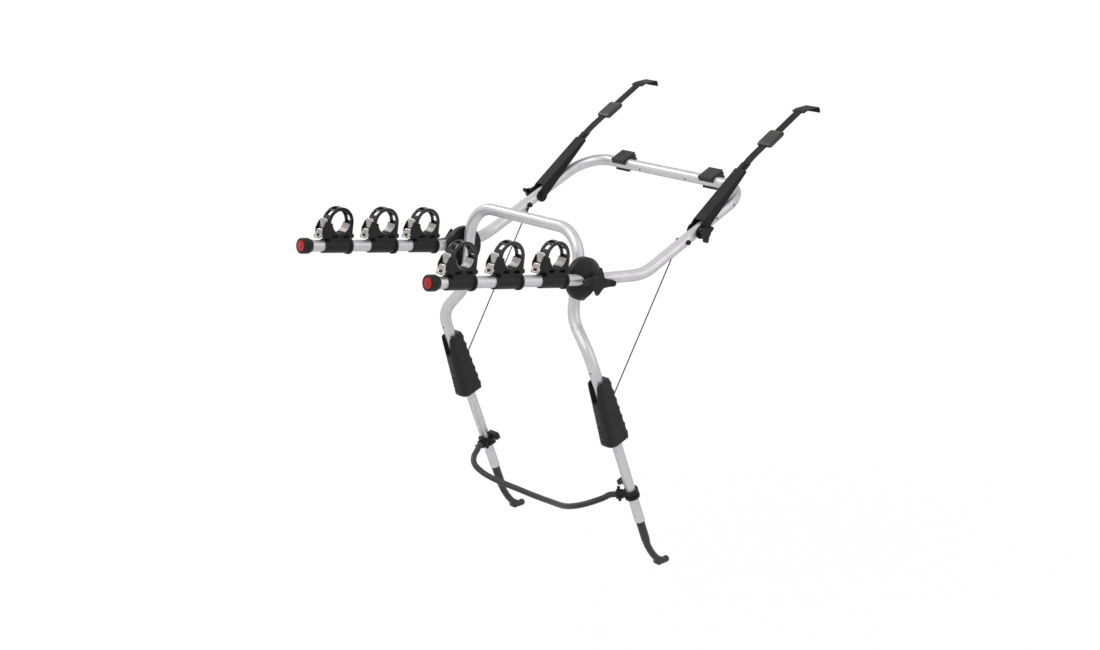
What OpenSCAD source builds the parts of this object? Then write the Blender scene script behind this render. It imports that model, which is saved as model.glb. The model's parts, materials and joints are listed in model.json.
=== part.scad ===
// Trunk mounted bike rack: a lower frame with telescoping hook legs, a folding
// upper frame with two hook arms, and two folding carrier arms with strap cradles.
// Millimetres. +X is the right side, +Y points to the car, +Z is up.
// The origin lies midway between the crooks of the two foot hooks.

/* [Tubes] */
// Outer diameter of the frame and arm tubes
tube_d = 28; // [26:0.5:30]
// Wall of the frame and arm tubes
tube_wall = 1.4; // [1.2:0.1:2]
// Wall of the telescoping lower leg tubes
leg_wall = 1.5; // [1.2:0.1:2.5]
// Centre-line radius of the frame corners
corner_r = 76; // [65:1:90]
// Centre-line radius of the bends where the legs splay
splay_r = 80; // [65:1:85]

/* [Lower frame] */
// Distance between the side tubes at the hubs
frame_w = 400; // [390:1:410]
// Distance between the legs
leg_w = 550; // [540:1:560]
// Height of the crossbar above the hub axis
frame_rise = 108; // [100:1:130]
// Lean of the side tubes towards the car
frame_lean = 7.7; // [4:0.1:10]
// Depth below the hub axis where the side tubes turn outward
splay_top = 100; // [95:1:105]
// Depth below the hub axis where the legs turn down
splay_bottom = 177; // [172:1:190]
// Distance of that turn from the hub axis, away from the car
splay_out = 26; // [20:1:30]
// Lean of the legs towards the car
leg_lean = 20.7; // [17:0.1:24]

/* [Upper frame] */
// Distance between the side tubes
upper_w = 578; // [570:1:590]
// Distance of the knee from the hub axis, towards the car
knee_y = 133; // [125:1:150]
// Height of the knee above the hub axis
knee_z = 0; // [-5:1:10]
// Distance of the crossbar from the hub axis
upper_reach = 495; // [480:1:510]
// Height of the crossbar above the hub axis
upper_rise = 158; // [150:1:165]
// Distance between the rubber feet
feet_w = 316; // [280:1:340]

/* [Arms] */
// Distance between the carrier arms
arm_w = 478; // [474:1:482]
// Upward tilt of the arms
arm_tilt = 8.8; // [4:0.1:12]
// Length of an arm from the hub axis to the tube's end
arm_l = 486; // [470:1:510]
// Diameter of an end cap
cap_d = 38; // [35:0.5:42]
// Length of an end cap
cap_l = 28; // [24:1:32]
// Diameter of a reflector
reflector_d = 27; // [22:0.5:29]

/* [Hubs] */
// Diameter of a hub
hub_d = 104; // [98:1:108]
// Diameter of a hub bolt
hub_bolt_d = 10; // [8:0.5:12]
// Span of a hub knob's long wings
knob_span = 104; // [90:1:112]
// Span of a hub knob's short fins
knob_fin_span = 72; // [60:1:80]

/* [Cradles] */
// Places of the left arm's cradles, measured from the hub axis
left_places = [79, 209, 347]; // [76:1:358]
// Places of the right arm's cradles, measured from the hub axis
right_places = [78, 219, 360]; // [76:1:360]
// Length of a cradle's sleeve along the arm
sleeve_l = 78; // [74:1:80]
// Radius of the bike tube that a cradle holds
bike_r = 24; // [22:0.5:25]
// Thickness of a saddle pad
pad_t = 2.4; // [1.5:0.1:3]
// Width of a cradle across the arm
cradle_w = 30; // [28:0.5:33]
// Height of the held tube's centre above the arm's axis
saddle_z = 57; // [56:0.5:60]

/* [Hook arms] */
// Distance of the pivots from the hub axis, towards the car
pivot_y = 313; // [300:1:325]
// Rise of the hook arms
hook_rise = 36.3; // [34:0.1:42]
// Length of a channel from its pivot
channel_l = 200; // [190:1:210]
// Width of the sliding band
band_w = 23; // [20:0.5:26]
// Thickness of the sliding band
band_t = 2.4; // [2:0.1:3]
// Width of the hook plate
hook_w = 40; // [34:1:46]
// Distance of the wire bolts from the hub axis
wire_bolt_y = 269; // [255:1:275]

/* [Legs] */
// Distance along a leg from its turn to the bumper's top
bumper_top = 68; // [62:1:80]
// Length of a bumper along the leg
bumper_l = 175; // [168:1:185]
// Width of a bumper
bumper_w = 45; // [40:1:50]
// Distance along a leg from its turn to the end of the bare tube
leg_end = 485; // [475:1:500]
// Length of a foot hook's straight part below the bare tube
foot_l = 63; // [55:1:75]
// Centre-line radius of a foot hook's first, wide bend
sweep_r = 150; // [135:1:165]
// Centre-line radius of a foot hook's crook
crook_r = 24; // [22:1:28]
// Distance along a leg from its turn to the hose clamp
clamp_s = 401; // [390:1:408]
// Diameter of the hose
hose_d = 15; // [13:0.5:17]

/* [Hidden] */
$fn = 64;
left = -1;
right = 1;
sides = [left, right];

// Clearances
slide_gap = 0.1;
pivot_gap = 0.05;
seat_gap = 0.2;
face_gap = 0.3;
// A bend is a hair thicker than the straight runs that enter it
bend_swell = 0.4;
bend_lap = 1;
past = 2;

leg_d = tube_d - 2 * tube_wall - 2 * slide_gap;
leg_turn = [leg_w / 2, -splay_out, -splay_bottom];
function leg_point(s, n) =
    leg_turn + s * [0, sin(leg_lean), -cos(leg_lean)] + n * [0, cos(leg_lean), sin(leg_lean)];
sweep_turn = 30;
crook_turn = 45;
toe_run = 8;
sweep_s = leg_end + foot_l;
crook_start = [sweep_s + sweep_r * sin(sweep_turn), sweep_r * (1 - cos(sweep_turn))];
crook = leg_point(crook_start[0] - crook_r * sin(sweep_turn), crook_start[1] + crook_r * cos(sweep_turn));
hub_y = -crook[1];
hub_z = -crook[2];

// Vectors and matrices
function unit(v) = v / norm(v);
function run_dirs(p) = [for (i = [0 : len(p) - 2]) unit(p[i + 1] - p[i])];
function turn_of(a, b) = acos(max(-1, min(1, a * b)));
function beside(d) = unit(abs(d[2]) < 0.9 ? cross(d, [0, 0, 1]) : cross(d, [1, 0, 0]));
function axes_at(x, y, z, at) = [
    [x[0], y[0], z[0], at[0]],
    [x[1], y[1], z[1], at[1]],
    [x[2], y[2], z[2], at[2]],
    [0, 0, 0, 1]];
function flipped(p) = [-p[0], p[1], p[2]];
function both_sides(half) = concat([for (i = [len(half) - 1 : -1 : 0]) flipped(half[i])], half);
function shortened(p, e) = [for (i = [0 : len(p) - 1])
    i == 0 ? p[0] + e * unit(p[1] - p[0])
    : i == len(p) - 1 ? p[i] + e * unit(p[i - 1] - p[i])
    : p[i]];

// Placing
module sided(side) {
    if (side < 0) mirror([1, 0, 0]) children();
    else children();
}
module from_hub() translate([0, hub_y, hub_z]) children();
module on_arm(side) sided(side) from_hub() translate([arm_w / 2, 0, 0]) rotate([-arm_tilt, 0, 0]) children();
module on_leg(side) sided(side) from_hub() translate(leg_turn) rotate([leg_lean, 0, 0]) children();
module on_pivot(side) sided(side) from_hub() translate([upper_w / 2, pivot_y, side_z(pivot_y)]) children();
module on_hook(side) on_pivot(side) rotate([hook_rise, 0, 0]) children();

// Rods along the axes
module rod_x(d, from, to) translate([from, 0, 0]) rotate([0, 90, 0]) cylinder(d = d, h = to - from);
module rod_y(d, from, to) translate([0, from, 0]) rotate([-90, 0, 0]) cylinder(d = d, h = to - from);
module rod_z(d, from, to) translate([0, 0, from]) cylinder(d = d, h = to - from);
module rod_between(a, b, d) rod_seamed(a, b, d, beside(unit(b - a)));
module rod_seamed(a, b, d, seam) {
    dir = unit(b - a);
    multmatrix(axes_at(seam, cross(dir, seam), dir, a)) cylinder(d = d, h = norm(b - a));
}
// A profile in the y-z plane, extruded across x
module across(w, from) translate([from, 0, 0]) rotate([90, 0, 90]) linear_extrude(w) children();
module across_middle(w) across(w, -w / 2) children();

// Bent tubes: straight runs and bends along a route, with one seam line from end to end
function turned(v, axis, angle) =
    v * cos(angle) + cross(axis, v) * sin(angle) + axis * (axis * v) * (1 - cos(angle));
function seam_after(seam, a, b) = turned(seam, unit(cross(a, b)), turn_of(a, b));
function seams_along(dirs, seam, i = 0) = i == len(dirs) - 1 ? [seam]
    : concat([seam], seams_along(dirs, seam_after(seam, dirs[i], dirs[i + 1]), i + 1));
module bend(corner, from, to, r, d, seam) {
    angle = turn_of(from, to);
    axis = unit(cross(from, to));
    out = cross(from, axis);
    start = corner - from * r * tan(angle / 2);
    multmatrix(axes_at(out, from, axis, start - out * r))
        rotate_extrude(angle = angle) translate([r, 0])
            rotate(atan2(seam * axis, seam * out)) circle(d = d + bend_swell);
}
module bent_rod(p, r, d) {
    dirs = run_dirs(p);
    seams = seams_along(dirs, beside(dirs[0]));
    last = len(p) - 1;
    for (i = [0 : last - 1]) {
        cut_a = i == 0 ? 0 : r[i - 1] * tan(turn_of(dirs[i - 1], dirs[i]) / 2) - bend_lap;
        cut_b = i == last - 1 ? 0 : r[i] * tan(turn_of(dirs[i], dirs[i + 1]) / 2) - bend_lap;
        rod_seamed(p[i] + dirs[i] * cut_a, p[i + 1] - dirs[i] * cut_b, d, seams[i]);
    }
    for (i = [1 : last - 1]) bend(p[i], dirs[i - 1], dirs[i], r[i - 1], d, seams[i - 1]);
}

// Lower frame
lower_half = [
    [frame_w / 2, frame_rise * tan(frame_lean), frame_rise],
    [frame_w / 2, -splay_top * tan(frame_lean), -splay_top],
    leg_turn,
    leg_point(bumper_top + bumper_l - 6, 0)];
lower_route = both_sides(lower_half);
lower_radii = [splay_r, splay_r, corner_r, corner_r, splay_r, splay_r];
leg_hole_s = 39;
leg_hole_d = 6;

module lower_frame() color("silver") from_hub() difference() {
    bent_rod(lower_route, lower_radii, tube_d);
    bent_rod(shortened(lower_route, -past), lower_radii, tube_d - 2 * tube_wall);
    for (side = sides) sided(side) {
        translate([frame_w / 2, 0, 0]) rod_x(hub_bolt_d + 2 * seat_gap, -tube_d, tube_d);
        translate(leg_turn) rotate([leg_lean, 0, 0]) translate([0, 0, -leg_hole_s]) rod_y(leg_hole_d, -tube_d, 0);
    }
}

// Hub layers along x, from the side tube outward
base_in = frame_w / 2 + tube_d / 2 - 9;
base_face = frame_w / 2 + tube_d / 2 + face_gap;
base_t = 4.7;
base_boss_d = 54;
cover_rim = base_face + base_t + face_gap;
cover_edge_t = 9;
cover_top = arm_w / 2 + tube_d / 2 + 6;
cover_wall = 3;
cover_fold = 78;
cover_room = tube_d / 2 + 1;
bolt_head_d = 22;
bolt_head_t = 6;
knob_in = cover_top + face_gap;
knob_out = knob_in + 23;
knob_turn = -11;
blade_in = 3;
fin_w = 32;
fin_tip = 5;
scoop_r = 30;
scoop_depth = 2.5;
scoop_at = 34;
eye_d = 36;
eye_clear_d = 41;
eye_web_h = 18;
plug_l = 50;

module hub_base(side) sided(side) from_hub() difference() {
    union() {
        rod_x(hub_d, base_face, base_face + base_t);
        rod_x(base_boss_d, base_in, base_face + base_t / 2);
    }
    translate([frame_w / 2, 0, 0]) rotate([-frame_lean, 0, 0])
        rod_z(tube_d + bend_swell + 2 * seat_gap, -hub_d, hub_d);
    rod_x(hub_bolt_d + 2 * seat_gap, 0, cover_top);
}
module hub_bases() color("#1c1c1e") for (side = sides) hub_base(side);

module hub_bolts() color("#1c1c1e") for (side = sides) sided(side) from_hub() {
    head_in = frame_w / 2 - tube_d / 2 - seat_gap - bolt_head_t;
    rod_x(hub_bolt_d, head_in + bolt_head_t / 2, knob_out - 6);
    rod_x(bolt_head_d, head_in, head_in + bolt_head_t);
}

module hub_cover(side) color("#1c1c1e") sided(side) from_hub() difference() {
    translate([cover_rim, 0, 0]) rotate([0, 90, 0]) rotate_extrude() cover_profile();
    translate([arm_w / 2, 0, 0]) rotate([-arm_tilt, 0, 0]) rod_y(tube_d + 2 * seat_gap, -hub_d, 0);
    // opening for the upper frame's tube, from rest to its fold
    across(hub_d, cover_rim - past) difference() {
        polygon([
            [0, cover_room],
            [hub_d, cover_room],
            [hub_d, -hub_d],
            hub_d * [cos(cover_fold), -sin(cover_fold)] - cover_room * [sin(cover_fold), cos(cover_fold)],
            -cover_room * [sin(cover_fold), cos(cover_fold)]]);
        circle(d = eye_d + 3);
    }
}
// Half of a cover's section: radius across, height above the rim upward
module cover_profile() {
    top = cover_top - cover_rim;
    eye_top = arm_w / 2 + tube_d / 2 + face_gap - cover_rim;
    dome_h = top - cover_edge_t;
    dome_r = (hub_d * hub_d / 4 + dome_h * dome_h) / (2 * dome_h);
    difference() {
        union() {
            square([hub_d / 2, cover_edge_t]);
            intersection() {
                translate([0, top - dome_r]) circle(r = dome_r);
                translate([0, cover_edge_t / 2]) square([hub_d / 2, top - 1 - cover_edge_t / 2]);
            }
        }
        translate([0, -past]) square([hub_d / 2 - cover_wall, cover_edge_t - 1 + past]);
        intersection() {
            translate([0, top - dome_r]) circle(r = dome_r - cover_wall);
            square([hub_d / 2 - cover_wall - 0.5, eye_top]);
        }
        square([eye_clear_d / 2, eye_top]);
        square([hub_bolt_d / 2 + seat_gap, top + past]);
    }
}

module hub_knob(side) color("#1c1c1e") sided(side) from_hub() difference() {
    union() {
        rod_x(34, knob_in, knob_in + blade_in + 1);
        rotate([knob_turn, 0, 0]) {
            across(knob_out - knob_in - blade_in, knob_in + blade_in) {
                circle(d = 36);
                for (end = [-1, 1]) hull() {
                    circle(d = 26, $fn = 32);
                    translate([end * (knob_span / 2 - 7), 0]) circle(d = 14, $fn = 32);
                }
            }
            intersection() {
                translate([0, fin_w / 2, 0]) rotate([90, 0, 0]) linear_extrude(fin_w) {
                    fin_profile(knob_fin_span / 2);
                    mirror([0, 1]) fin_profile(knob_fin_span / 2 - 5);
                }
                across(knob_out - knob_in, knob_in) polygon([
                    [-fin_w / 2, 0], [-fin_tip / 2, knob_fin_span / 2], [fin_tip / 2, knob_fin_span / 2],
                    [fin_w / 2, 0], [fin_tip / 2, -knob_fin_span / 2], [-fin_tip / 2, -knob_fin_span / 2]]);
            }
        }
    }
    rod_x(hub_bolt_d + 2 * pivot_gap, knob_in - past, knob_out - 5);
    // the blades slope back from the upper frame's tube, which they pass as the knob turns
    translate([knob_in, 0, 0]) rotate([0, 90, 0]) rotate_extrude() polygon([
        [20, -past], [20, blade_in + 0.2], [knob_span / 2, 15.8], [knob_span, 15.8], [knob_span, -past]]);
    // finger scoops in the wings
    rotate([knob_turn, 0, 0]) for (end = [-1, 1]) translate([knob_out + scoop_r - scoop_depth, end * scoop_at, 0])
        rod_z(2 * scoop_r, -knob_span, knob_span);
}
// A fin's side view: x outward, its tip swept to the outer face
module fin_profile(reach) polygon([
    [knob_in + 4, 0], [knob_in + 4, 15], [knob_in + 7, 19], [knob_out - 10, 22], [knob_out - 8, reach - 3],
    [knob_out - 6, reach], [knob_out - 3, reach - 8], [knob_out, 13], [knob_out, 0]]);

// Carrier arms
module arm_tube(side) color("silver") on_arm(side) difference() {
    union() {
        difference() {
            rod_y(tube_d, -arm_l, 0);
            rod_x(eye_clear_d, -tube_d, tube_d);
        }
        rod_x(eye_d, -tube_d / 2, -face_gap / 2);
        translate([-tube_d / 2, -eye_clear_d / 2 - 6, -eye_web_h / 2])
            cube([tube_d / 2 - face_gap / 2, eye_clear_d / 2 + 6, eye_web_h]);
    }
    rod_y(tube_d - 2 * tube_wall, -arm_l - past, -plug_l);
    rod_x(hub_bolt_d + 2 * pivot_gap, -tube_d, tube_d);
}

cap_end = -arm_l - 4;
flute_count = 18;
flute_d = 3.6;
flute_depth = 0.7;
module arm_cap(side) color("#1c1c1e") on_arm(side) difference() {
    translate([0, cap_end, 0]) rotate([-90, 0, 0]) rotate_extrude() polygon([
        [0, 0], [cap_d / 2 - 2.5, 0], [cap_d / 2 - 0.6, 1.2], [cap_d / 2, 3.5],
        [cap_d / 2, cap_l - 8], [cap_d / 2 - 3, cap_l], [0, cap_l]]);
    rod_y(tube_d + 2 * seat_gap, -arm_l - seat_gap, 0);
    rod_y(reflector_d + 2 * seat_gap, cap_end - past, cap_end + 2.2);
    for (i = [0 : flute_count - 1]) rotate([0, i * 360 / flute_count, 0])
        translate([cap_d / 2 + flute_d / 2 - flute_depth, 0, 0]) rod_y(flute_d, cap_end + 4, cap_end + cap_l + past);
}

module reflector(side) color("#c01018") on_arm(side) union() {
    rod_y(reflector_d, cap_end + 0.4, cap_end + 2);
    intersection() {
        translate([0, cap_end + 0.4 + reflector_d, 0]) sphere(r = reflector_d + 1.2);
        rod_y(reflector_d - 4, cap_end - 3, cap_end + 1);
    }
}

// Cradles, in the arm's frame with the rear flange at y = 0
saddle_r = bike_r + pad_t + 0.1;
saddle_y = -sleeve_l / 2;
saddle_wall = 4.5;
wall_r = saddle_r + saddle_wall;
strap_gap = 0.8;
strap_leg_t = 5.7;
strap_arch_t = 8.5;
strap_r = wall_r + strap_gap + strap_leg_t;
strap_w = cradle_w - 4.6;
strap_tip_l = 4;
strap_tip_t = 4.5;
flange_d = 41;
flange_t = 6;
sleeve_d = tube_d + 7;
anchor_z = 26;
anchor_d = 5;
knuckle_d = anchor_d + 3.2;
strap_y = saddle_y + strap_r - strap_leg_t / 2;
cheek_t = 2;
buckle_y = saddle_y - strap_r;
lever_y = buckle_y - 10.5;
lever_z = saddle_z - 20;
lever_pin_d = 5;
release_y = buckle_y - 4;
release_z = saddle_z - 2;
release_pin_d = 3.6;
lever_w = cradle_w - 2 * cheek_t - 0.8;
slot_w = 18;
slot_h = 7;

function places(side) = side < 0 ? left_places : right_places;
module on_cradle(side, i) on_arm(side) translate([0, -places(side)[i], 0]) children();

module cradle_base(side, i) color("#1c1c1e") on_cradle(side, i) difference() {
    union() {
        rod_y(sleeve_d, -sleeve_l, 0);
        rod_y(flange_d, -flange_t, 0);
        across_middle(cradle_w) difference() {
            translate([saddle_y - wall_r, 0]) square([2 * wall_r, saddle_z - 1]);
            translate([saddle_y, saddle_z]) circle(r = saddle_r);
            for (end = [-1, 1]) translate([saddle_y + end * (wall_r / 2 + 1) - slot_w / 2, sleeve_d / 2 + 3.5])
                square([slot_w, slot_h]);
        }
        for (x = [-cradle_w / 2, cradle_w / 2 - cheek_t]) across(cheek_t, x) {
            // lug that carries the strap's hinge
            translate([strap_y, anchor_z]) circle(d = anchor_d + 7);
            translate([saddle_y + wall_r - 4, anchor_z - 6]) square([5, 12]);
            // cheek of the buckle
            polygon([
                [saddle_y - wall_r + 1, saddle_z - 1],
                [release_y - 4, release_z + 6],
                [lever_y - 6, lever_z + 6],
                [lever_y - 6, lever_z - 4],
                [lever_y - 1, lever_z - 9],
                [saddle_y - wall_r + 1, sleeve_d / 2 + 2.5]]);
        }
    }
    rod_y(tube_d + 2 * slide_gap, -sleeve_l - past, past);
    translate([0, strap_y, anchor_z]) {
        rod_x(anchor_d + 2 * pivot_gap, -cradle_w, cradle_w);
        rod_x(knuckle_d + 2 * face_gap, -strap_w / 2 - seat_gap, strap_w / 2 + seat_gap);
    }
    translate([0, lever_y, lever_z]) rod_x(lever_pin_d + 2 * pivot_gap, -cradle_w, cradle_w);
    translate([0, release_y, release_z]) rod_x(release_pin_d + 2 * pivot_gap, -cradle_w, cradle_w);
}

pad_from = 6;
pad_sweep = 68;
module cradle_pads(side, i) color("#b9b9b7") on_cradle(side, i) translate([0, saddle_y, saddle_z])
    for (start = [-pad_from - pad_sweep, 180 + pad_from]) rotate([start, 0, 0]) rotate([90, 0, 90])
        rotate_extrude(angle = pad_sweep) translate([bike_r, -cradle_w / 2 + 1])
            square([pad_t, cradle_w - 2]);

window_count = 5;
window_w = strap_w - 7;
window_l = 12.5;
window_pitch = 31;
window_first = 28;
module cradle_strap(side, i) color("#202022") on_cradle(side, i) {
    difference() {
        union() {
            across_middle(strap_w) {
                difference() {
                    translate([saddle_y, saddle_z]) circle(r = strap_r);
                    translate([saddle_y, saddle_z]) circle(r = strap_r - strap_arch_t);
                    translate([saddle_y - 2 * strap_r, saddle_z - 2 * strap_r]) square([4 * strap_r, 2 * strap_r]);
                }
                translate([saddle_y + strap_r - strap_leg_t, anchor_z]) square([strap_leg_t, saddle_z + 1 - anchor_z]);
                translate([saddle_y - strap_r, saddle_z - strap_tip_l]) square([strap_tip_t, strap_tip_l + 1]);
            }
            translate([0, strap_y, anchor_z]) rod_x(knuckle_d, -strap_w / 2, strap_w / 2);
            translate([0, strap_y, anchor_z]) rod_x(anchor_d, -cradle_w / 2, cradle_w / 2);
        }
        for (k = [0 : window_count - 1]) translate([0, saddle_y, saddle_z])
            rotate([window_first + k * window_pitch, 0, 0])
                translate([-window_w / 2, strap_r - strap_arch_t - past, -window_l / 2])
                    cube([window_w, strap_arch_t + 2 * past, window_l]);
        translate([-window_w / 2, saddle_y + strap_r - strap_leg_t - past, saddle_z - 16])
            cube([window_w, strap_leg_t + 2 * past, window_l]);
    }
}

module cradle_lever(side, i) color("#c9cacc") on_cradle(side, i) translate([0, lever_y, lever_z]) difference() {
    union() {
        rod_x(lever_pin_d, -cradle_w / 2, cradle_w / 2);
        rod_x(lever_pin_d + 3, -lever_w / 2, lever_w / 2);
        across_middle(lever_w)
            polygon([[-3, 4], [2, 2], [1.5, -6], [-4, -14], [-9, -18], [-12, -17.5], [-11, -13], [-7, -5]]);
    }
    // scoop for a fingertip
    translate([0, -10.4, -8.8]) rod_x(9, -lever_w / 2 + 4, lever_w / 2 - 4);
}

module cradle_release(side, i) color("#c9cacc") on_cradle(side, i) translate([0, release_y, release_z]) {
    rod_x(release_pin_d, -cradle_w / 2, cradle_w / 2);
    across_middle(lever_w) union() {
        circle(d = release_pin_d + 2.4);
        polygon([[-2.6, -9], [1.5, -9], [2, 4], [0.4, 11], [-1.6, 11.4], [-4, 4]]);
    }
}

// Upper frame
knee = [upper_w / 2, knee_y, knee_z];
upper_corner = [upper_w / 2, upper_reach, upper_rise];
function side_z(y) = knee_z + (y - knee_y) * (upper_rise - knee_z) / (upper_reach - knee_y);
side_rise = atan2(upper_rise - knee_z, upper_reach - knee_y);
upper_half = [upper_corner, knee, [arm_w / 2, 0, 0]];
upper_route = both_sides(upper_half);
upper_radii = [110, corner_r + 6, corner_r + 6, 110];
hook_bolt_d = 8;
wire_bolt_d = 6;
side_hole_d = 6;
side_holes_y = [370, 429];
bar_hole_x = 82;

module upper_frame() color("silver") from_hub() difference() {
    union() {
        difference() {
            bent_rod(upper_route, upper_radii, tube_d);
            rod_x(eye_clear_d, -arm_w, arm_w);
        }
        for (side = sides) sided(side) {
            rod_x(eye_d, arm_w / 2 + face_gap / 2, arm_w / 2 + tube_d / 2);
            translate([arm_w / 2 + face_gap / 2, 0, -eye_web_h / 2])
                cube([tube_d / 2 - face_gap / 2, eye_clear_d / 2 + 6, eye_web_h]);
        }
    }
    bent_rod(shortened(upper_route, plug_l), upper_radii, tube_d - 2 * tube_wall);
    rod_x(hub_bolt_d + 2 * pivot_gap, -arm_w, arm_w);
    for (side = sides) sided(side) translate([upper_w / 2, 0, 0]) {
        translate([0, pivot_y, side_z(pivot_y)]) rod_x(hook_bolt_d + 2 * seat_gap, -tube_d, tube_d);
        translate([0, wire_bolt_y, side_z(wire_bolt_y)]) rod_x(wire_bolt_d + 2 * seat_gap, -tube_d, tube_d);
        for (y = side_holes_y) translate([0, y, side_z(y)]) rod_x(side_hole_d, 0, tube_d);
    }
    for (x = [-bar_hole_x, bar_hole_x]) translate([x, upper_reach, upper_rise]) rotate([side_rise, 0, 0])
        rod_y(side_hole_d, -tube_d, 0);
}

foot_w = 48;
foot_front = -9;
foot_back = 31;
foot_half_h = 19;
tooth_count = 4;
module on_foot(side) sided(side) from_hub() translate([feet_w / 2, upper_reach, upper_rise]) rotate([side_rise, 0, 0])
    children();
module frame_foot(side) on_foot(side)
    across_middle(foot_w) difference() {
        union() {
            translate([foot_front, -foot_half_h]) square([foot_back - foot_front, 2 * foot_half_h]);
            translate([foot_front - 6, 6]) square([12, foot_half_h - 6]);
        }
        circle(d = tube_d + 2 * seat_gap);
        translate([-tube_d, -foot_half_h + 6]) square([tube_d, foot_half_h]);
        for (i = [0 : tooth_count - 1])
            translate([foot_back, -foot_half_h + (i + 0.5) * 2 * foot_half_h / tooth_count]) circle(d = 5.5);
    }
module frame_feet() color("#1c1c1e") for (side = sides) frame_foot(side);

// Bolts that the upper frame carries: the hook arms' pivots and the wires' anchors
flange_gap = 0.7;
channel_wall = 2;
channel_in = tube_d / 2 + flange_gap;
channel_out = channel_in + channel_wall;
hook_knob_in = channel_out + face_gap;
hook_knob_l = 20;
wire_eye_t = 2.4;
wire_nut_t = 5;

module frame_bolts() color("#1c1c1e") for (side = sides) {
    on_pivot(side) {
        rod_x(hook_bolt_d, -channel_out - 3, hook_knob_in + hook_knob_l - 4);
        rod_x(hook_bolt_d + 6, -channel_out - face_gap - 5, -channel_out - face_gap);
    }
    sided(side) from_hub() translate([upper_w / 2, wire_bolt_y, side_z(wire_bolt_y)]) {
        rod_x(wire_bolt_d, -tube_d / 2 - 2 * face_gap - wire_eye_t - wire_nut_t, tube_d / 2 + 3);
        rod_x(wire_bolt_d + 6, tube_d / 2 + face_gap, tube_d / 2 + face_gap + 4.5);
        translate([-tube_d / 2 - 3 * face_gap - wire_eye_t - wire_nut_t, 0, 0]) rotate([0, 90, 0])
            cylinder(d = wire_bolt_d + 5.5, h = wire_nut_t, $fn = 6);
    }
}

// Tension wires from the upper frame down to the bumpers
wire_d = 2.4;
ferrule_d = 5;
ferrule_l = 18;
ferrule_at = 9;
wire_x = upper_w / 2 - tube_d / 2 - face_gap - wire_eye_t / 2;
wire_top = [wire_x, wire_bolt_y, side_z(wire_bolt_y)];
wire_foot = leg_point(bumper_top + 81, tube_d / 2 + 4) - [4.5, 0, 0];
wire_dir = unit(wire_foot - wire_top);

module tension_wires() color("#2a2a2a") for (side = sides) sided(side) from_hub() difference() {
    union() {
        translate(wire_top) rod_x(wire_bolt_d + 7, -wire_eye_t / 2, wire_eye_t / 2);
        rod_between(wire_top + ferrule_at * wire_dir, wire_top + (ferrule_at + ferrule_l) * wire_dir, ferrule_d);
        rod_between(wire_top + 5 * wire_dir, wire_foot, wire_d);
    }
    translate(wire_top) rod_x(wire_bolt_d + 2 * seat_gap, -tube_d, tube_d);
}

// Hook arms: a channel on the pivot, a band that slides in it, and a clamping knob
web_under = 16.3;
web_t = 2;
web_from = 22;
ear_r = 17;
module hook_channel(side) color("#1c1c1e") on_hook(side) {
    difference() {
        union() {
            for (x = [-channel_out, channel_in]) across(channel_wall, x) difference() {
                union() {
                    circle(r = ear_r);
                    polygon([[0, -ear_r + 4], [60, -6], [channel_l, 10], [channel_l, web_under + web_t],
                        [web_from, web_under + web_t], [4, ear_r - 2]]);
                }
                circle(d = hook_bolt_d + 2 * pivot_gap);
            }
            translate([-channel_out, web_from, web_under])
                cube([2 * channel_out, channel_l - web_from, web_t]);
        }
    }
    // tabs that carry the band
    for (y = [channel_l - 80, channel_l - 16]) for (x = [-channel_in - channel_wall / 2, channel_in - 3])
        translate([x, y, web_under - band_t - 2 * face_gap - 2]) cube([3 + channel_wall / 2, 12, 2]);
}

// The band's profile: straight runs and arcs walked from its inner end
band_z = web_under - face_gap - band_t / 2;
band_start = channel_l - 88;
strip_w = 2 * channel_in - 1;
strip_l = 112;
band_arc_r = 300;
band_drop = 7.3;
band_run = 176;
plate_arc_r = 46;
plate_drop = 25;
plate_run = 34;
lip_r = 5;
lip_turn = 82;
lip_run = 10;
arc_step = 6;
function arc_end(at, dir, r, turn) = at + r * [sin(dir) - sin(dir - turn), cos(dir - turn) - cos(dir)];
function arc_points(at, dir, r, turn, off) = let (n = max(2, ceil(turn / arc_step)))
    [for (i = [0 : n]) let (d = dir - turn * i / n)
        arc_end(at, dir, r, turn * i / n) + off * [-sin(d), cos(d)]];
band_a = [band_start + strip_l, band_z];
band_b = arc_end(band_a, 0, band_arc_r, band_drop);
band_c = band_b + band_run * [cos(band_drop), -sin(band_drop)];
band_d = arc_end(band_c, -band_drop, plate_arc_r, plate_drop);
plate_dir = -band_drop - plate_drop;
band_e = band_d + plate_run * [cos(plate_dir), sin(plate_dir)];
band_f = arc_end(band_e, plate_dir, lip_r, lip_turn);
lip_dir = plate_dir - lip_turn;
function band_side(off) = concat(
    [band_a + off * [0, 1]],
    arc_points(band_a, 0, band_arc_r, band_drop, off),
    arc_points(band_c, -band_drop, plate_arc_r, plate_drop, off));
function hook_side(off) = concat(
    arc_points(band_c, -band_drop, plate_arc_r, plate_drop, off),
    arc_points(band_e, plate_dir, lip_r, lip_turn, off),
    [band_f + lip_run * [cos(lip_dir), sin(lip_dir)] + off * [-sin(lip_dir), cos(lip_dir)]]);
function backward(p) = [for (i = [len(p) - 1 : -1 : 0]) p[i]];
rivet_d = 6;

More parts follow.
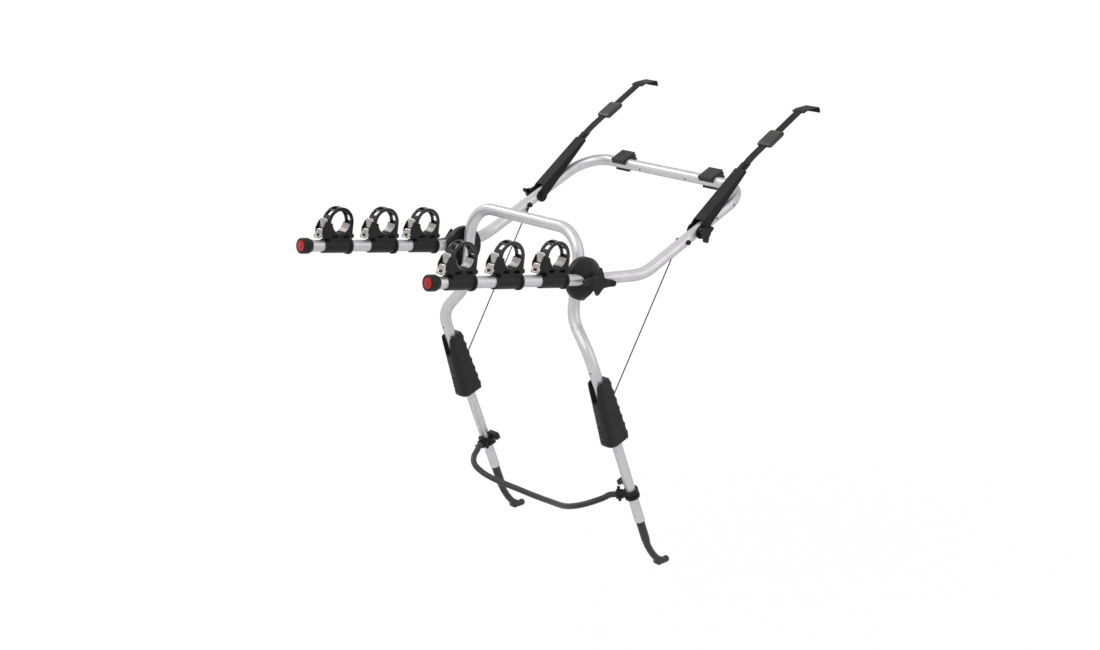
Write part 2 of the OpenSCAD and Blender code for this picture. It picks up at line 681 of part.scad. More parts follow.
module hook_band(side) color("#1c1c1e") on_hook(side) {
    translate([-strip_w / 2, band_start, band_z - band_t / 2]) cube([strip_w, strip_l, band_t]);
    across_middle(band_w) polygon(concat([[band_start + strip_l - 20, band_z + band_t / 2]], band_side(band_t / 2),
        backward(band_side(-band_t / 2)), [[band_start + strip_l - 20, band_z - band_t / 2]]));
    across_middle(hook_w) polygon(concat(hook_side(band_t / 2), backward(hook_side(-band_t / 2))));
    for (y = [band_start + strip_l - 15, band_start + strip_l - 6]) translate([0, y, 0])
        rod_z(rivet_d, band_z, band_z + band_t / 2 + 1.2);
    hook_pad();
}

pad_place = 62;
pad_l = 60;
pad_w = 40;
pad_up = 5.5;
pad_down = 6.5;
// The rubber pad that grips the band is a solid of its own in the band's node
module hook_pad() {
    at = band_b + pad_place * [cos(band_drop), -sin(band_drop)];
    translate([0, at[0], at[1]]) rotate([-band_drop, 0, 0]) difference() {
        across_middle(pad_w) polygon([[-pad_l / 2, -pad_down + 3], [-pad_l / 2 + 6, -pad_down],
            [pad_l / 2 - 6, -pad_down], [pad_l / 2, -pad_down + 3], [pad_l / 2, pad_up - 2.5],
            [pad_l / 2 - 8, pad_up], [-pad_l / 2 + 8, pad_up], [-pad_l / 2, pad_up - 2.5]]);
        translate([-band_w / 2 - seat_gap, -pad_l, -band_t / 2 - seat_gap])
            cube([band_w + 2 * seat_gap, 2 * pad_l, band_t + 2 * seat_gap]);
    }
}

lobe_count = 3;
lobe_reach = 24;
module hook_knob(side) color("#1c1c1e") on_pivot(side) difference() {
    union() {
        rod_x(20, hook_knob_in, hook_knob_in + hook_knob_l - 8);
        translate([hook_knob_in + hook_knob_l - 11, 0, 0]) rotate([90, 0, 90]) linear_extrude(11) {
            circle(d = 24);
            for (i = [0 : lobe_count - 1]) rotate(30 + i * 360 / lobe_count) hull() {
                circle(d = 16, $fn = 32);
                translate([lobe_reach - 5, 0]) circle(d = 10, $fn = 32);
            }
        }
    }
    rod_x(hook_bolt_d + 2 * pivot_gap, hook_knob_in - past, hook_knob_in + hook_knob_l - 3);
}

// Legs, in the leg's frame: z runs up the leg, y towards the car
bumper_front_top = -22;
bumper_front_low = -37;
bumper_back_top = 22;
bumper_back_low = 28;
bumper_round = 17;
bumper_edge_r = 5;
horn_l = 52;
ridge_count = 7;
ridge_d = 20;
ridge_out = 1.6;
groove_count = 4;
groove_pitch = 12;
groove_d = 7;
groove_depth = 3.2;
function bumper_y(front, low, s) = front + (low - front) * s / bumper_l;
// A thin slice of the bumper: round towards the front, square towards the car
function corner(x, y, r, from, n) = [for (i = [0 : n]) [x, y] + r * [cos(from + 90 * i / n), sin(from + 90 * i / n)]];
function bumper_outline(front, back) = concat(
    corner(bumper_round - bumper_w / 2, front + bumper_round, bumper_round, 180, 8),
    corner(bumper_w / 2 - bumper_round, front + bumper_round, bumper_round, 270, 8),
    corner(bumper_w / 2 - bumper_edge_r, back - bumper_edge_r, bumper_edge_r, 0, 4),
    corner(bumper_edge_r - bumper_w / 2, back - bumper_edge_r, bumper_edge_r, 90, 4));
module bumper_slice(front, back, z) translate([0, 0, z]) linear_extrude(0.5) polygon(bumper_outline(front, back));
module leg_bumper(side) difference() {
    on_leg(side) union() {
        hull() {
            bumper_slice(bumper_front_top, bumper_back_top, -bumper_top - 0.5);
            bumper_slice(bumper_front_low, bumper_back_low, -bumper_top - bumper_l + 8);
            bumper_slice(bumper_front_low + 7, bumper_back_low - 1, -bumper_top - bumper_l);
        }
        // ribs across the face that meets the car
        for (i = [0 : ridge_count - 1]) let (s = 14 + i * (bumper_l - 30) / (ridge_count - 1))
            translate([0, bumper_y(bumper_back_top, bumper_back_low, s) + ridge_out - ridge_d / 2, -bumper_top - s])
                rod_x(ridge_d, -bumper_w / 2 + 0.8, bumper_w / 2 - 0.8);
    }
    on_leg(side) {
        rod_z(tube_d + 2 * seat_gap, -bumper_top - bumper_l + 3, 0);
        rod_z(leg_d + 2 * slide_gap, -bumper_top - bumper_l - past, 0);
        // notch between the two horns, and their sloping tops
        translate([0, 0, -bumper_top]) rotate([90, 0, 0]) linear_extrude(-bumper_front_low)
            polygon([[-15, past], [15, past], [9, -horn_l + 10], [5, -horn_l], [-5, -horn_l], [-9, -horn_l + 10]]);
        across_middle(2 * bumper_w) polygon([
            [bumper_front_top - 9, -bumper_top - 20], [bumper_front_top - 9, -bumper_top + past],
            [bumper_front_top + 9, -bumper_top + past]]);
        translate([0, 2, -bumper_top + 3]) rod_x(10, -bumper_w, bumper_w);
        // grip grooves low on the front
        for (i = [0 : groove_count - 1]) let (s = bumper_l - 22 - i * groove_pitch)
            translate([0, bumper_y(bumper_front_top, bumper_front_low, s), -bumper_top - s])
                translate([0, groove_depth - groove_d / 2, 0]) rod_x(groove_d, -bumper_w, bumper_w);
    }
    // tunnel for the tension wire
    sided(side) from_hub() rod_between(wire_foot + 2 * wire_dir, wire_foot - bumper_top * wire_dir, wire_d + 1);
}
module leg_bumpers() color("#1c1c1e") for (side = sides) leg_bumper(side);

leg_top_s = 150;
module lower_legs() color("silver") for (side = sides) on_leg(side) difference() {
    rod_z(leg_d, -leg_end, -leg_top_s);
    rod_z(leg_d - 2 * leg_wall, -leg_end - past, -leg_top_s + past);
}

// Springs that draw the legs up, wound inside the upper tubes
spring_turns = 9;
spring_wire = 2.6;
spring_d = tube_d - 2 * tube_wall - spring_wire - 2 * face_gap;
spring_l = 76;
spring_rings = 8;
spring_sides = 6;
function spring_point(i) = let (t = i / (spring_turns * spring_rings))
    [spring_d / 2 * cos(360 * spring_turns * t), spring_d / 2 * sin(360 * spring_turns * t), spring_l * t];
function ring_at(p, dir, d, n) = let (u = beside(dir), v = cross(dir, u))
    [for (k = [0 : n - 1]) p + d / 2 * (cos(360 * k / n) * u + sin(360 * k / n) * v)];
function tube_faces(rings, n) = concat(
    [[for (k = [0 : n - 1]) k]],
    [for (r = [0 : rings - 2]) for (k = [0 : n - 1]) for (half = [0, 1]) let (a = r * n + k, b = r * n + (k + 1) % n)
        half == 0 ? [a, a + n, b] : [b, a + n, b + n]],
    [[for (k = [n - 1 : -1 : 0]) (rings - 1) * n + k]]);
module swept(points, dirs, d, n) polyhedron(
    points = [for (i = [0 : len(points) - 1]) each ring_at(points[i], dirs[i], d, n)],
    faces = tube_faces(len(points), n), convexity = 10);
function dirs_along(p) = [for (i = [0 : len(p) - 1]) unit(p[min(i + 1, len(p) - 1)] - p[max(i - 1, 0)])];
module leg_springs() color("gray") for (side = sides) on_leg(side)
    translate([0, 0, -leg_top_s + face_gap + spring_wire / 2]) {
        coil = [for (i = [0 : spring_turns * spring_rings]) spring_point(i)];
        swept(coil, dirs_along(coil), spring_wire, spring_sides);
    }

// Foot hooks: a rubber covered rod that plugs into the leg's end, bent into a hook with a rounded toe
foot_d = leg_d - 2 * leg_wall - 2 * seat_gap;
foot_in_leg = 30;
foot_tip_d = 17;
heel_d = 23;
heel_w = 15;
heel_out = 1.5;
toe_d = 18;
sweep_corner = sweep_s + sweep_r * tan(sweep_turn / 2);
toe_dir = sweep_turn + crook_turn;
function down_leg(s, n) = [0, n, -s];
function along(angle) = down_leg(cos(angle), sin(angle));
crook_corner = down_leg(crook_start[0], crook_start[1]) + crook_r * tan(crook_turn / 2) * along(sweep_turn);
toe = crook_corner + (crook_r * tan(crook_turn / 2) + toe_run) * along(toe_dir);
heel = down_leg(crook_start[0] + heel_out * sin(sweep_turn), crook_start[1] - heel_out * cos(sweep_turn));
module foot_hook(side) on_leg(side) {
    rod_z(foot_d, -sweep_s + 6, -leg_end + foot_in_leg);
    translate([0, 0, -sweep_s - 22]) cylinder(d1 = foot_tip_d - 1, d2 = foot_d, h = 28.5);
    bent_rod([down_leg(leg_end + 8, 0), down_leg(sweep_corner, 0), crook_corner, toe], [sweep_r, crook_r], foot_tip_d);
    translate(heel) rod_x(heel_d, -heel_w / 2, heel_w / 2);
    translate(toe) sphere(d = toe_d);
}
module foot_hooks() color("#1c1c1e") for (side = sides) foot_hook(side);

// Clamps on the lower legs that carry the hose
clamp_d = leg_d + 13;
clamp_h = 22;
neck_l = 38;
neck_d = hose_d + 5;
neck_turn = 30;
finger_w = 13;
finger_y = 8;
finger_l = 27;
finger_h = 27;
finger_t = 8;
stub_count = 3;
stub_d = 8;
stub_l = 8;
clamp_screw_d = 5;
clamp_screw_rise = 37;
clamp_at = leg_point(clamp_s, 0);
neck_dir = [-sin(neck_turn), -cos(neck_turn), 0];
function round_neck(angle) = cos(angle) * cross(neck_dir, [0, 0, 1]) + sin(angle) * [0, 0, 1];
module hose_clamp(side) difference() {
    union() {
        on_leg(side) translate([0, 0, -clamp_s]) {
            rod_z(clamp_d - 5, -clamp_h / 2, clamp_h / 2);
            for (z = [-clamp_h / 2, clamp_h / 2 - 8]) rod_z(clamp_d, z, z + 8);
            // hooked finger on the inner side, which the screw draws to the ring
            translate([-leg_d / 2 - 0.8, finger_y + finger_w / 2, 0]) rotate([90, 0, 0]) linear_extrude(finger_w)
                polygon([
                    [0, -clamp_h / 2], [0, finger_h], [-finger_l, finger_h], [-finger_l - 4, finger_h - 2],
                    [-finger_l - 6, finger_h - 7], [-finger_l - 6, finger_h - 16], [-finger_l + 2, finger_h - 16],
                    [-finger_l + 2, finger_h - finger_t - 4], [-finger_l + 6, finger_h - finger_t],
                    [-6.5, finger_h - finger_t], [-6.5, -clamp_h / 2]]);
        }
        sided(side) from_hub() {
            rod_between(clamp_at, clamp_at + neck_l * neck_dir, neck_d);
            for (at = [neck_l - 16, neck_l - 5])
                rod_between(clamp_at + at * neck_dir, clamp_at + (at + 5) * neck_dir, neck_d + 4);
            for (i = [0 : stub_count - 1]) let (from = clamp_at + (neck_l - 5) * neck_dir)
                rod_between(from, from + (neck_d / 2 + 2 + stub_l) * round_neck(90 + i * 360 / stub_count), stub_d);
        }
    }
    on_leg(side) translate([0, 0, -clamp_s]) {
        rod_z(leg_d + 2 * slide_gap, -clamp_h, clamp_h);
        on_screw() rod_x(clamp_screw_d + 2 * seat_gap, -screw_l - past, past);
    }
    sided(side) from_hub()
        rod_between(clamp_at + (neck_l - hose_in) * neck_dir, clamp_at + (neck_l + past) * neck_dir,
            hose_d + 2 * seat_gap);
}
module hose_clamps() color("#1c1c1e") for (side = sides) hose_clamp(side);
screw_l = 31;
module on_screw() translate([-leg_d / 2 - 2.5, finger_y, 0]) rotate([0, clamp_screw_rise, 0]) children();
module clamp_screws() color("#b87333") for (side = sides) on_leg(side) translate([0, 0, -clamp_s])
    on_screw() rod_x(clamp_screw_d, -screw_l, 0);

// Hose between the clamps: half of its route, from the right clamp's neck to the middle
hose_in = 12;
hose_start = clamp_at + (neck_l - hose_in + seat_gap) * neck_dir;
hose_half = concat(
    [hose_start, hose_start + 14 * neck_dir, hose_start + 28 * neck_dir],
    [[240, 54, -559], [226, 32, -567], [204, 15, -577], [174, 11, -588], [140, 18, -599], [100, 30, -608],
        [60, 40, -614], [25, 44, -617]]);
hose_route = concat(hose_half, backward([for (p = hose_half) flipped(p)]));
hose_sides = 12;
module hose() color("#1e1e20") from_hub() swept(hose_route, dirs_along(hose_route), hose_d, hose_sides);

// Nodes
cradle_parts = ["base", "pads", "strap", "lever", "release"];
function cradle_name(part, side, i) = str(side < 0 ? "left" : "right", "_cradle_", i + 1, "_", part);
function sided_name(name, side) = str(name, side < 0 ? "_left" : "_right");
sided_nodes = ["hub_cover", "hub_knob", "arm_tube", "arm_cap", "reflector", "hook_channel", "hook_band", "hook_knob"];

lower_frame();
hub_bases();
hub_bolts();
upper_frame();
frame_feet();
frame_bolts();
tension_wires();
leg_bumpers();
lower_legs();
leg_springs();
foot_hooks();
hose_clamps();
clamp_screws();
hose();
for (side = sides) {
    hub_cover(side);
    hub_knob(side);
    arm_tube(side);
    arm_cap(side);
    reflector(side);
    hook_channel(side);
    hook_band(side);
    hook_knob(side);
    for (i = [0 : 2]) {
        cradle_base(side, i);
        cradle_pads(side, i);
        cradle_strap(side, i);
        cradle_lever(side, i);
        cradle_release(side, i);
    }
}
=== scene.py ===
"""Looks of a trunk mounted bike rack.

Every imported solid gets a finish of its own. The soft pieces (rubber, straps, pads,
wires and the hose) and the pressed plates of the buckles are modelled here and stand
for the plainer solids. Lengths are metres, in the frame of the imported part: +X right,
+Y to the car, +Z up.
"""
import json
import logging
import math
from collections.abc import Callable, Sequence
from dataclasses import dataclass, field
from enum import Enum
from itertools import product

import bmesh
import bpy
from mathutils import Matrix, Vector


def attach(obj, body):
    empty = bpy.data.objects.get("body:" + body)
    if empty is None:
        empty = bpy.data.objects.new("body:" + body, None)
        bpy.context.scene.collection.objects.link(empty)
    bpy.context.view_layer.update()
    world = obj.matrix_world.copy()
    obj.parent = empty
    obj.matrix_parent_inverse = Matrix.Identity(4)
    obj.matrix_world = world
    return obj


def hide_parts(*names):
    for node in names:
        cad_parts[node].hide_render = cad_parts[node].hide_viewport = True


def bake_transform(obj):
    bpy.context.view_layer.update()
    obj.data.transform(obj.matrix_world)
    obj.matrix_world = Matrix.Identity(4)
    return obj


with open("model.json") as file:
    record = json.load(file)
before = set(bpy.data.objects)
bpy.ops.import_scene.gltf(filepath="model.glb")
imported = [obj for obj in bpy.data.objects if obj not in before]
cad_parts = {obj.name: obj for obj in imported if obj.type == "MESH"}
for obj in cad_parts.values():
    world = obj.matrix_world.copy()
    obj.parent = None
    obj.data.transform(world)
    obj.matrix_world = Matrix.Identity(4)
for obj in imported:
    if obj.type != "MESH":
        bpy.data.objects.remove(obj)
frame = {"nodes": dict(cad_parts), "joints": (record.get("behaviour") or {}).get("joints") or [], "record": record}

LOG = logging.getLogger("bike_rack")
MM = 0.001
WELD = 1e-6
TURN_SIDES = 28
UNIT_SQUARE = ((0, 0), (1, 0), (1, 1), (0, 1))
PHOTO_WIDTH = 1100
CRADLES_PER_ARM = 3
BMesh = bmesh.types.BMesh
Mesh = bpy.types.Mesh
Object = bpy.types.Object
Node = bpy.types.Node
Socket = bpy.types.NodeSocket
Tree = bpy.types.NodeTree
Cell = tuple[int, int, int]
Triple = tuple[float, float, float]


class Side(Enum):
    """The rack's two sides, as nodes and bodies spell them."""

    LEFT = "left"
    RIGHT = "right"


class Slot(Enum):
    """The record's material slots."""

    TUBE = "silver_tube"
    PLASTIC = "black_plastic"
    RUBBER = "black_rubber"
    COAT = "black_coat"
    ZINC = "zinc_steel"
    PAD = "grey_pad"
    BUCKLE = "silver_buckle"
    STRAP = "gloss_strap"
    REFLECTOR = "red_reflector"
    WIRE = "wire_coat"
    SCREW = "brass_screw"


class Rig:
    """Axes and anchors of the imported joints, from which the pieces take their places."""

    def __init__(self) -> None:
        """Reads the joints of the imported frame."""
        self.joints = {joint["name"]: joint for joint in frame["joints"]}

    def anchor(self, joint: str) -> Vector:
        """A hinge's point on its axis."""
        return Vector(self.joints[joint]["pos_m"])

    def pitch(self, slide: str) -> float:
        """The angle of a slide's line above the +Y axis, in radians."""
        axis = Vector(self.joints[slide]["axis"])
        return math.atan(axis.z / axis.y)


def leaning(origin: Vector, angle: float) -> Matrix:
    """The matrix of a frame at an origin, turned from +Y to +Z by an angle in radians."""
    return Matrix.Translation(origin) @ Matrix.Rotation(angle, 4, "X")


def placed(name: str, data: bpy.types.ID) -> Object:
    """Puts a new object into the scene.

    Args:
        name: The object's name.
        data: Its mesh, curve, lamp or camera.

    Returns:
        The object.
    """
    made = bpy.data.objects.new(name, data)
    bpy.context.scene.collection.objects.link(made)
    return made


@dataclass(frozen=True)
class NodeTree:
    """A short way to add and link the nodes of one tree."""

    tree: Tree

    FIRST_COLOUR, SECOND_COLOUR, MIXED_COLOUR = 6, 7, 2

    def add(self, kind: str, inputs: dict | None = None, **properties: object) -> Node:
        """Adds a node.

        Args:
            kind: The node's type name without ShaderNode.
            inputs: What its inputs are fed, by name or number.
            properties: Properties of the node.

        Returns:
            The new node.
        """
        node = self.tree.nodes.new(f"ShaderNode{kind}")
        for name, value in properties.items():
            setattr(node, name, value)
        for name, value in (inputs or {}).items():
            self.feed(node.inputs[name], value)
        return node

    def feed(self, target: Socket, value: object) -> None:
        """Gives an input what it needs.

        Args:
            target: The input.
            value: A socket to link, or a number, a vector or a colour.
        """
        if isinstance(value, Socket):
            self.tree.links.new(value, target)
        else:
            target.default_value = (*value, 1.0) if target.type == "RGBA" else value

    def math(self, operation: str, first: object, second: object) -> Socket:
        """The result of a Math node on two sockets or numbers."""
        return self.add("Math", {0: first, 1: second}, operation=operation).outputs[0]

    def measure(self, operation: str, *vectors: object) -> Socket:
        """The number that a Vector Math node gives for sockets or vectors."""
        return self.add("VectorMath", dict(enumerate(vectors)), operation=operation).outputs["Value"]

    def spread(self, value: Socket, low: float, high: float) -> Socket:
        """Maps the range from low to high onto 0 to 1, clamped."""
        node = self.add("MapRange", {"Value": value, "From Min": low, "From Max": high})
        return node.outputs["Result"]

    def mix(self, share: Socket, first: object, second: object) -> Socket:
        """Mixes two colours or sockets, with a share of the second."""
        inputs = {"Factor": share, self.FIRST_COLOUR: first, self.SECOND_COLOUR: second}
        return self.add("Mix", inputs, data_type="RGBA").outputs[self.MIXED_COLOUR]

    def texture(self, kind: str, scale: object, inputs: dict[str, float], **properties: str) -> Node:
        """Adds a texture of some kind, at some scale, that keeps its place on the object."""
        place = self.add("TexCoord").outputs["Object"]
        return self.add(f"Tex{kind}", {"Vector": place, "Scale": scale, **inputs}, **properties)

    def clouds(self, scale: object, low: float, high: float, **inputs: float) -> Socket:
        """Noise on the object, with its range from low to high spread onto 0 to 1."""
        return self.spread(self.texture("Noise", scale, inputs).outputs["Fac"], low, high)

    def group(self, tree: Tree, **inputs: float) -> Node:
        """Adds a shared group."""
        return self.add("Group", inputs, node_tree=tree)


class Effects:
    """Shader node groups that several finishes share."""

    # Noises, as their scale and the range that is spread.
    WORN = (90.0, 0.38, 0.68)
    MARKS = (28.0, 0.35, 0.7)
    SCUFFS = (252.0, 0.6, 0.75)
    SPECKS = (160.0, 0.4, 0.7)

    BEVEL_SAMPLES = 4
    EDGE_TURN = (0.02, 0.25)
    PIT_SCALE = 0.55
    CLOUD_SCALE = 0.03
    FINE_HEIGHT = 0.6
    PIT_HEIGHT = 0.5
    TONE_CLOUDS = (0.3, 0.7)
    UPWARD = (0.35, 1.0)

    def __init__(self) -> None:
        """Builds each group once."""
        self.wear = self._edge_wear()
        self.grain = self._moulded_grain()
        self.smudge = self._handling_marks()
        self.dust = self._settled_dust()

    @staticmethod
    def _group(name: str, inputs: dict[str, float], *outputs: str) -> tuple[NodeTree, Sequence, Sequence]:
        """Makes an empty group with its sockets.

        Args:
            name: The group's name.
            inputs: Its input numbers, with what they are by default.
            outputs: Its output numbers.

        Returns:
            The tree, the sockets that it is given and those of its results.
        """
        tree = bpy.data.node_groups.new(name, "ShaderNodeTree")
        for label, value in inputs.items():
            socket = tree.interface.new_socket(label, in_out="INPUT", socket_type="NodeSocketFloat")
            socket.default_value = value
        for label in outputs:
            tree.interface.new_socket(label, in_out="OUTPUT", socket_type="NodeSocketFloat")
        nodes = NodeTree(tree)
        return nodes, tree.nodes.new("NodeGroupInput").outputs, tree.nodes.new("NodeGroupOutput").inputs

    def _edge_wear(self) -> Tree:
        """Edges that handling has rubbed pale: high where the surface turns sharply.

        Returns:
            The group.
        """
        nodes, given, result = self._group("edge wear", {"Radius": 1.0 * MM}, "Mask")
        bevel = nodes.add("Bevel", {"Radius": given["Radius"]}, samples=self.BEVEL_SAMPLES)
        geometry = nodes.add("NewGeometry")
        level = nodes.measure("DOT_PRODUCT", bevel.outputs["Normal"], geometry.outputs["Normal"])
        edge = nodes.spread(nodes.math("SUBTRACT", 1.0, level), *self.EDGE_TURN)
        worn = nodes.clouds(*self.WORN, Detail=4.0)
        nodes.feed(result["Mask"], nodes.math("MULTIPLY", edge, worn))
        return nodes.tree

    def _moulded_grain(self) -> Tree:
        """Fine pits and grain, as a mould or a powder coat leaves them.

        Returns:
            The group.
        """
        nodes, given, result = self._group("moulded grain", {"Scale": 900.0}, "Height", "Tone")
        scale = given["Scale"]
        fine = nodes.texture("Noise", scale, {"Detail": 3.0})
        pits = nodes.texture("Voronoi", nodes.math("MULTIPLY", scale, self.PIT_SCALE), {},
                             feature="SMOOTH_F1")
        broad = nodes.math("MULTIPLY", scale, self.CLOUD_SCALE)
        height = nodes.math("ADD", nodes.math("MULTIPLY", fine.outputs["Fac"], self.FINE_HEIGHT),
                            nodes.math("MULTIPLY", pits.outputs["Distance"], self.PIT_HEIGHT))
        nodes.feed(result["Height"], height)
        nodes.feed(result["Tone"], nodes.clouds(broad, *self.TONE_CLOUDS, Detail=3.0))
        return nodes.tree

    def _handling_marks(self) -> Tree:
        """Broad cloudy marks and thin scuffs that change the gloss.

        Returns:
            The group.
        """
        nodes, _, result = self._group("handling marks", {}, "Marks")
        soft = nodes.clouds(*self.MARKS, Detail=5.0)
        thin = nodes.clouds(*self.SCUFFS, Distortion=2.5)
        nodes.feed(result["Marks"], nodes.math("MAXIMUM", soft, thin))
        return nodes.tree

    def _settled_dust(self) -> Tree:
        """A breath of dust on what faces up.

        Returns:
            The group.
        """
        nodes, given, result = self._group("settled dust", {"Amount": 0.2}, "Mask")
        normal = nodes.add("NewGeometry").outputs["Normal"]
        upward = nodes.add("SeparateXYZ", {"Vector": normal}).outputs["Z"]
        specks = nodes.clouds(*self.SPECKS, Detail=6.0)
        share = nodes.math("MULTIPLY", nodes.spread(upward, *self.UPWARD), specks)
        nodes.feed(result["Mask"], nodes.math("MULTIPLY", share, given["Amount"]))
        return nodes.tree


@dataclass(frozen=True)
class Finish:
    """One surface finish. Colours are linear; edge_tint dims what the surface mirrors at its rim."""

    slot: Slot
    colour: Triple
    tone: Triple
    worn: Triple
    roughness: float
    metallic: float = 0.0
    coat: float = 0.0
    coat_ior: float = 1.5
    specular: float = 0.5
    edge_tint: float = 1.0
    grain_scale: float = 900.0
    grain_depth: float = 0.08 * MM
    marks: float = 0.1
    wear: float = 0.5
    wear_radius: float = 0.9 * MM
    dust: float = 0.1
    variant: str = ""

    COAT_ROUGHNESS = 0.12
    ROUND_SHARE = 0.6
    DUST_COLOUR = (0.34, 0.33, 0.31)

    def build(self, effects: Effects) -> bpy.types.Material:
        """Makes the finish's material.

        Args:
            effects: The shared node groups.

        Returns:
            The material.
        """
        material = bpy.data.materials.new(self.slot.value + self.variant)
        material.use_nodes = True
        nodes = NodeTree(material.node_tree)
        shader = material.node_tree.nodes["Principled BSDF"]
        grain = nodes.group(effects.grain, Scale=self.grain_scale)
        wear = nodes.group(effects.wear, Radius=self.wear_radius)
        marks = nodes.group(effects.smudge)
        dust = nodes.group(effects.dust, Amount=self.dust)
        base = self.pattern(nodes, nodes.mix(grain.outputs["Tone"], self.colour, self.tone))
        worn = nodes.mix(nodes.math("MULTIPLY", wear.outputs["Mask"], self.wear), base, self.worn)
        gloss = nodes.math("MULTIPLY", marks.outputs["Marks"], self.marks)
        rounded = nodes.add("Bevel", {"Radius": self.ROUND_SHARE * self.wear_radius},
                            samples=Effects.BEVEL_SAMPLES)
        bump = nodes.add("Bump", {
            "Distance": self.grain_depth,
            "Height": self.relief(nodes, grain.outputs["Height"]),
            "Normal": rounded.outputs["Normal"],
        })
        surface = {
            "Base Color": nodes.mix(dust.outputs["Mask"], worn, self.DUST_COLOUR),
            "Roughness": nodes.math("ADD", gloss, self.roughness),
            "Normal": bump.outputs["Normal"],
            "Metallic": self.metallic,
            "Specular IOR Level": self.specular,
            "Specular Tint": (self.edge_tint,) * 3,
            "Coat Weight": self.coat,
            "Coat Roughness": self.COAT_ROUGHNESS,
            "Coat IOR": self.coat_ior,
        }
        for name, value in surface.items():
            nodes.feed(shader.inputs[name], value)
        return material

    def pattern(self, nodes: NodeTree, base: Socket) -> Socket:
        """Colour pattern over the base; none here."""
        return base

    def relief(self, nodes: NodeTree, grain: Socket) -> Socket:
        """Height of the surface; the grain alone here."""
        return grain


@dataclass(frozen=True)
class PrismFinish(Finish):
    """A reflector's lens, with rows of small prisms under its face."""

    prism_pitch: float = 2.4 * MM

    PRISM_REACH = 0.7

    def _cells(self, nodes: NodeTree) -> Socket:
        """Distance to the nearest prism's middle."""
        cells = nodes.texture("Voronoi", 1.0 / self.prism_pitch, {"Randomness": 0.0})
        return nodes.spread(cells.outputs["Distance"], 0.0, self.PRISM_REACH)

    def pattern(self, nodes: NodeTree, base: Socket) -> Socket:
        """Darkens the valleys between the prisms."""
        return nodes.mix(self._cells(nodes), base, self.tone)

    def relief(self, nodes: NodeTree, grain: Socket) -> Socket:
        """Raises the prisms."""
        return nodes.math("SUBTRACT", 1.0, self._cells(nodes))


@dataclass(frozen=True)
class StrandFinish(Finish):
    """A wire rope under a thin coat: slanted strands show through."""

    strand_pitch: float = 3.2 * MM

    PITCH_WAVES = 0.5
    GRAIN_SHARE = 0.2

    def relief(self, nodes: NodeTree, grain: Socket) -> Socket:
        """Slanted bands along the wire, with the grain on top."""
        bands = nodes.texture("Wave", self.PITCH_WAVES / self.strand_pitch, {}, bands_direction="DIAGONAL")
        return nodes.math("ADD", bands.outputs["Fac"], nodes.math("MULTIPLY", grain, self.GRAIN_SHARE))


MOULDED = "_moulded"
FINISHES: tuple[Finish, ...] = (
    Finish(Slot.TUBE, (0.605, 0.595, 0.610), (0.555, 0.545, 0.560), (0.70, 0.70, 0.70), roughness=0.34,
           metallic=0.60, edge_tint=0.25, grain_scale=1600.0, grain_depth=0.006 * MM, marks=0.08, wear=0.25,
           dust=0.03),
    Finish(Slot.PLASTIC, (0.0070, 0.0070, 0.0073), (0.0100, 0.0098, 0.0098), (0.050, 0.049, 0.048),
           roughness=0.40, specular=0.21, grain_scale=1100.0, grain_depth=0.07 * MM, marks=0.12, dust=0.04),
    Finish(Slot.RUBBER, (0.0140, 0.0136, 0.0130), (0.0190, 0.0184, 0.0176), (0.042, 0.041, 0.039),
           roughness=0.40, specular=0.42, grain_scale=800.0, dust=0.05),
    Finish(Slot.RUBBER, (0.0085, 0.0083, 0.0080), (0.0115, 0.0112, 0.0108), (0.042, 0.041, 0.039),
           roughness=0.36, specular=0.24, grain_scale=800.0, dust=0.04, variant=MOULDED),
    Finish(Slot.COAT, (0.0080, 0.0079, 0.0077), (0.0110, 0.0108, 0.0105), (0.060, 0.060, 0.060),
           roughness=0.52, specular=0.15, grain_scale=700.0, grain_depth=0.05 * MM, marks=0.12, wear=0.6,
           dust=0.04),
    Finish(Slot.ZINC, (0.56, 0.56, 0.55), (0.48, 0.48, 0.47), (0.72, 0.72, 0.72), roughness=0.32,
           metallic=1.0, grain_scale=1300.0, grain_depth=0.01 * MM, marks=0.14),
    Finish(Slot.PAD, (0.38, 0.36, 0.34), (0.29, 0.275, 0.26), (0.50, 0.48, 0.46), roughness=0.30,
           grain_scale=1000.0, grain_depth=0.04 * MM, marks=0.12, dust=0.0),
    Finish(Slot.BUCKLE, (0.45, 0.43, 0.405), (0.36, 0.345, 0.325), (0.62, 0.60, 0.58), roughness=0.20,
           metallic=1.0, edge_tint=0.3, grain_scale=1500.0, grain_depth=0.006 * MM, marks=0.12, dust=0.02),
    Finish(Slot.STRAP, (0.0060, 0.0060, 0.0065), (0.0085, 0.0085, 0.0085), (0.040, 0.040, 0.040),
           roughness=0.16, coat=0.2, coat_ior=1.6, specular=0.3, grain_scale=700.0, grain_depth=0.015 * MM,
           marks=0.14, wear=0.3, dust=0.02),
    PrismFinish(Slot.REFLECTOR, (0.62, 0.010, 0.010), (0.34, 0.004, 0.005), (0.66, 0.06, 0.05),
                roughness=0.22, coat=0.1, specular=0.25, grain_depth=0.15 * MM, marks=0.06, wear=0.2,
                dust=0.0),
    StrandFinish(Slot.WIRE, (0.0090, 0.0090, 0.0092), (0.0130, 0.0130, 0.0128), (0.040, 0.040, 0.040),
                 roughness=0.42, specular=0.3, grain_depth=0.05 * MM, wear=0.1, dust=0.02),
    Finish(Slot.SCREW, (0.62, 0.36, 0.20), (0.50, 0.28, 0.15), (0.78, 0.55, 0.36), roughness=0.30,
           metallic=1.0, grain_scale=1300.0, grain_depth=0.01 * MM, marks=0.15),
)


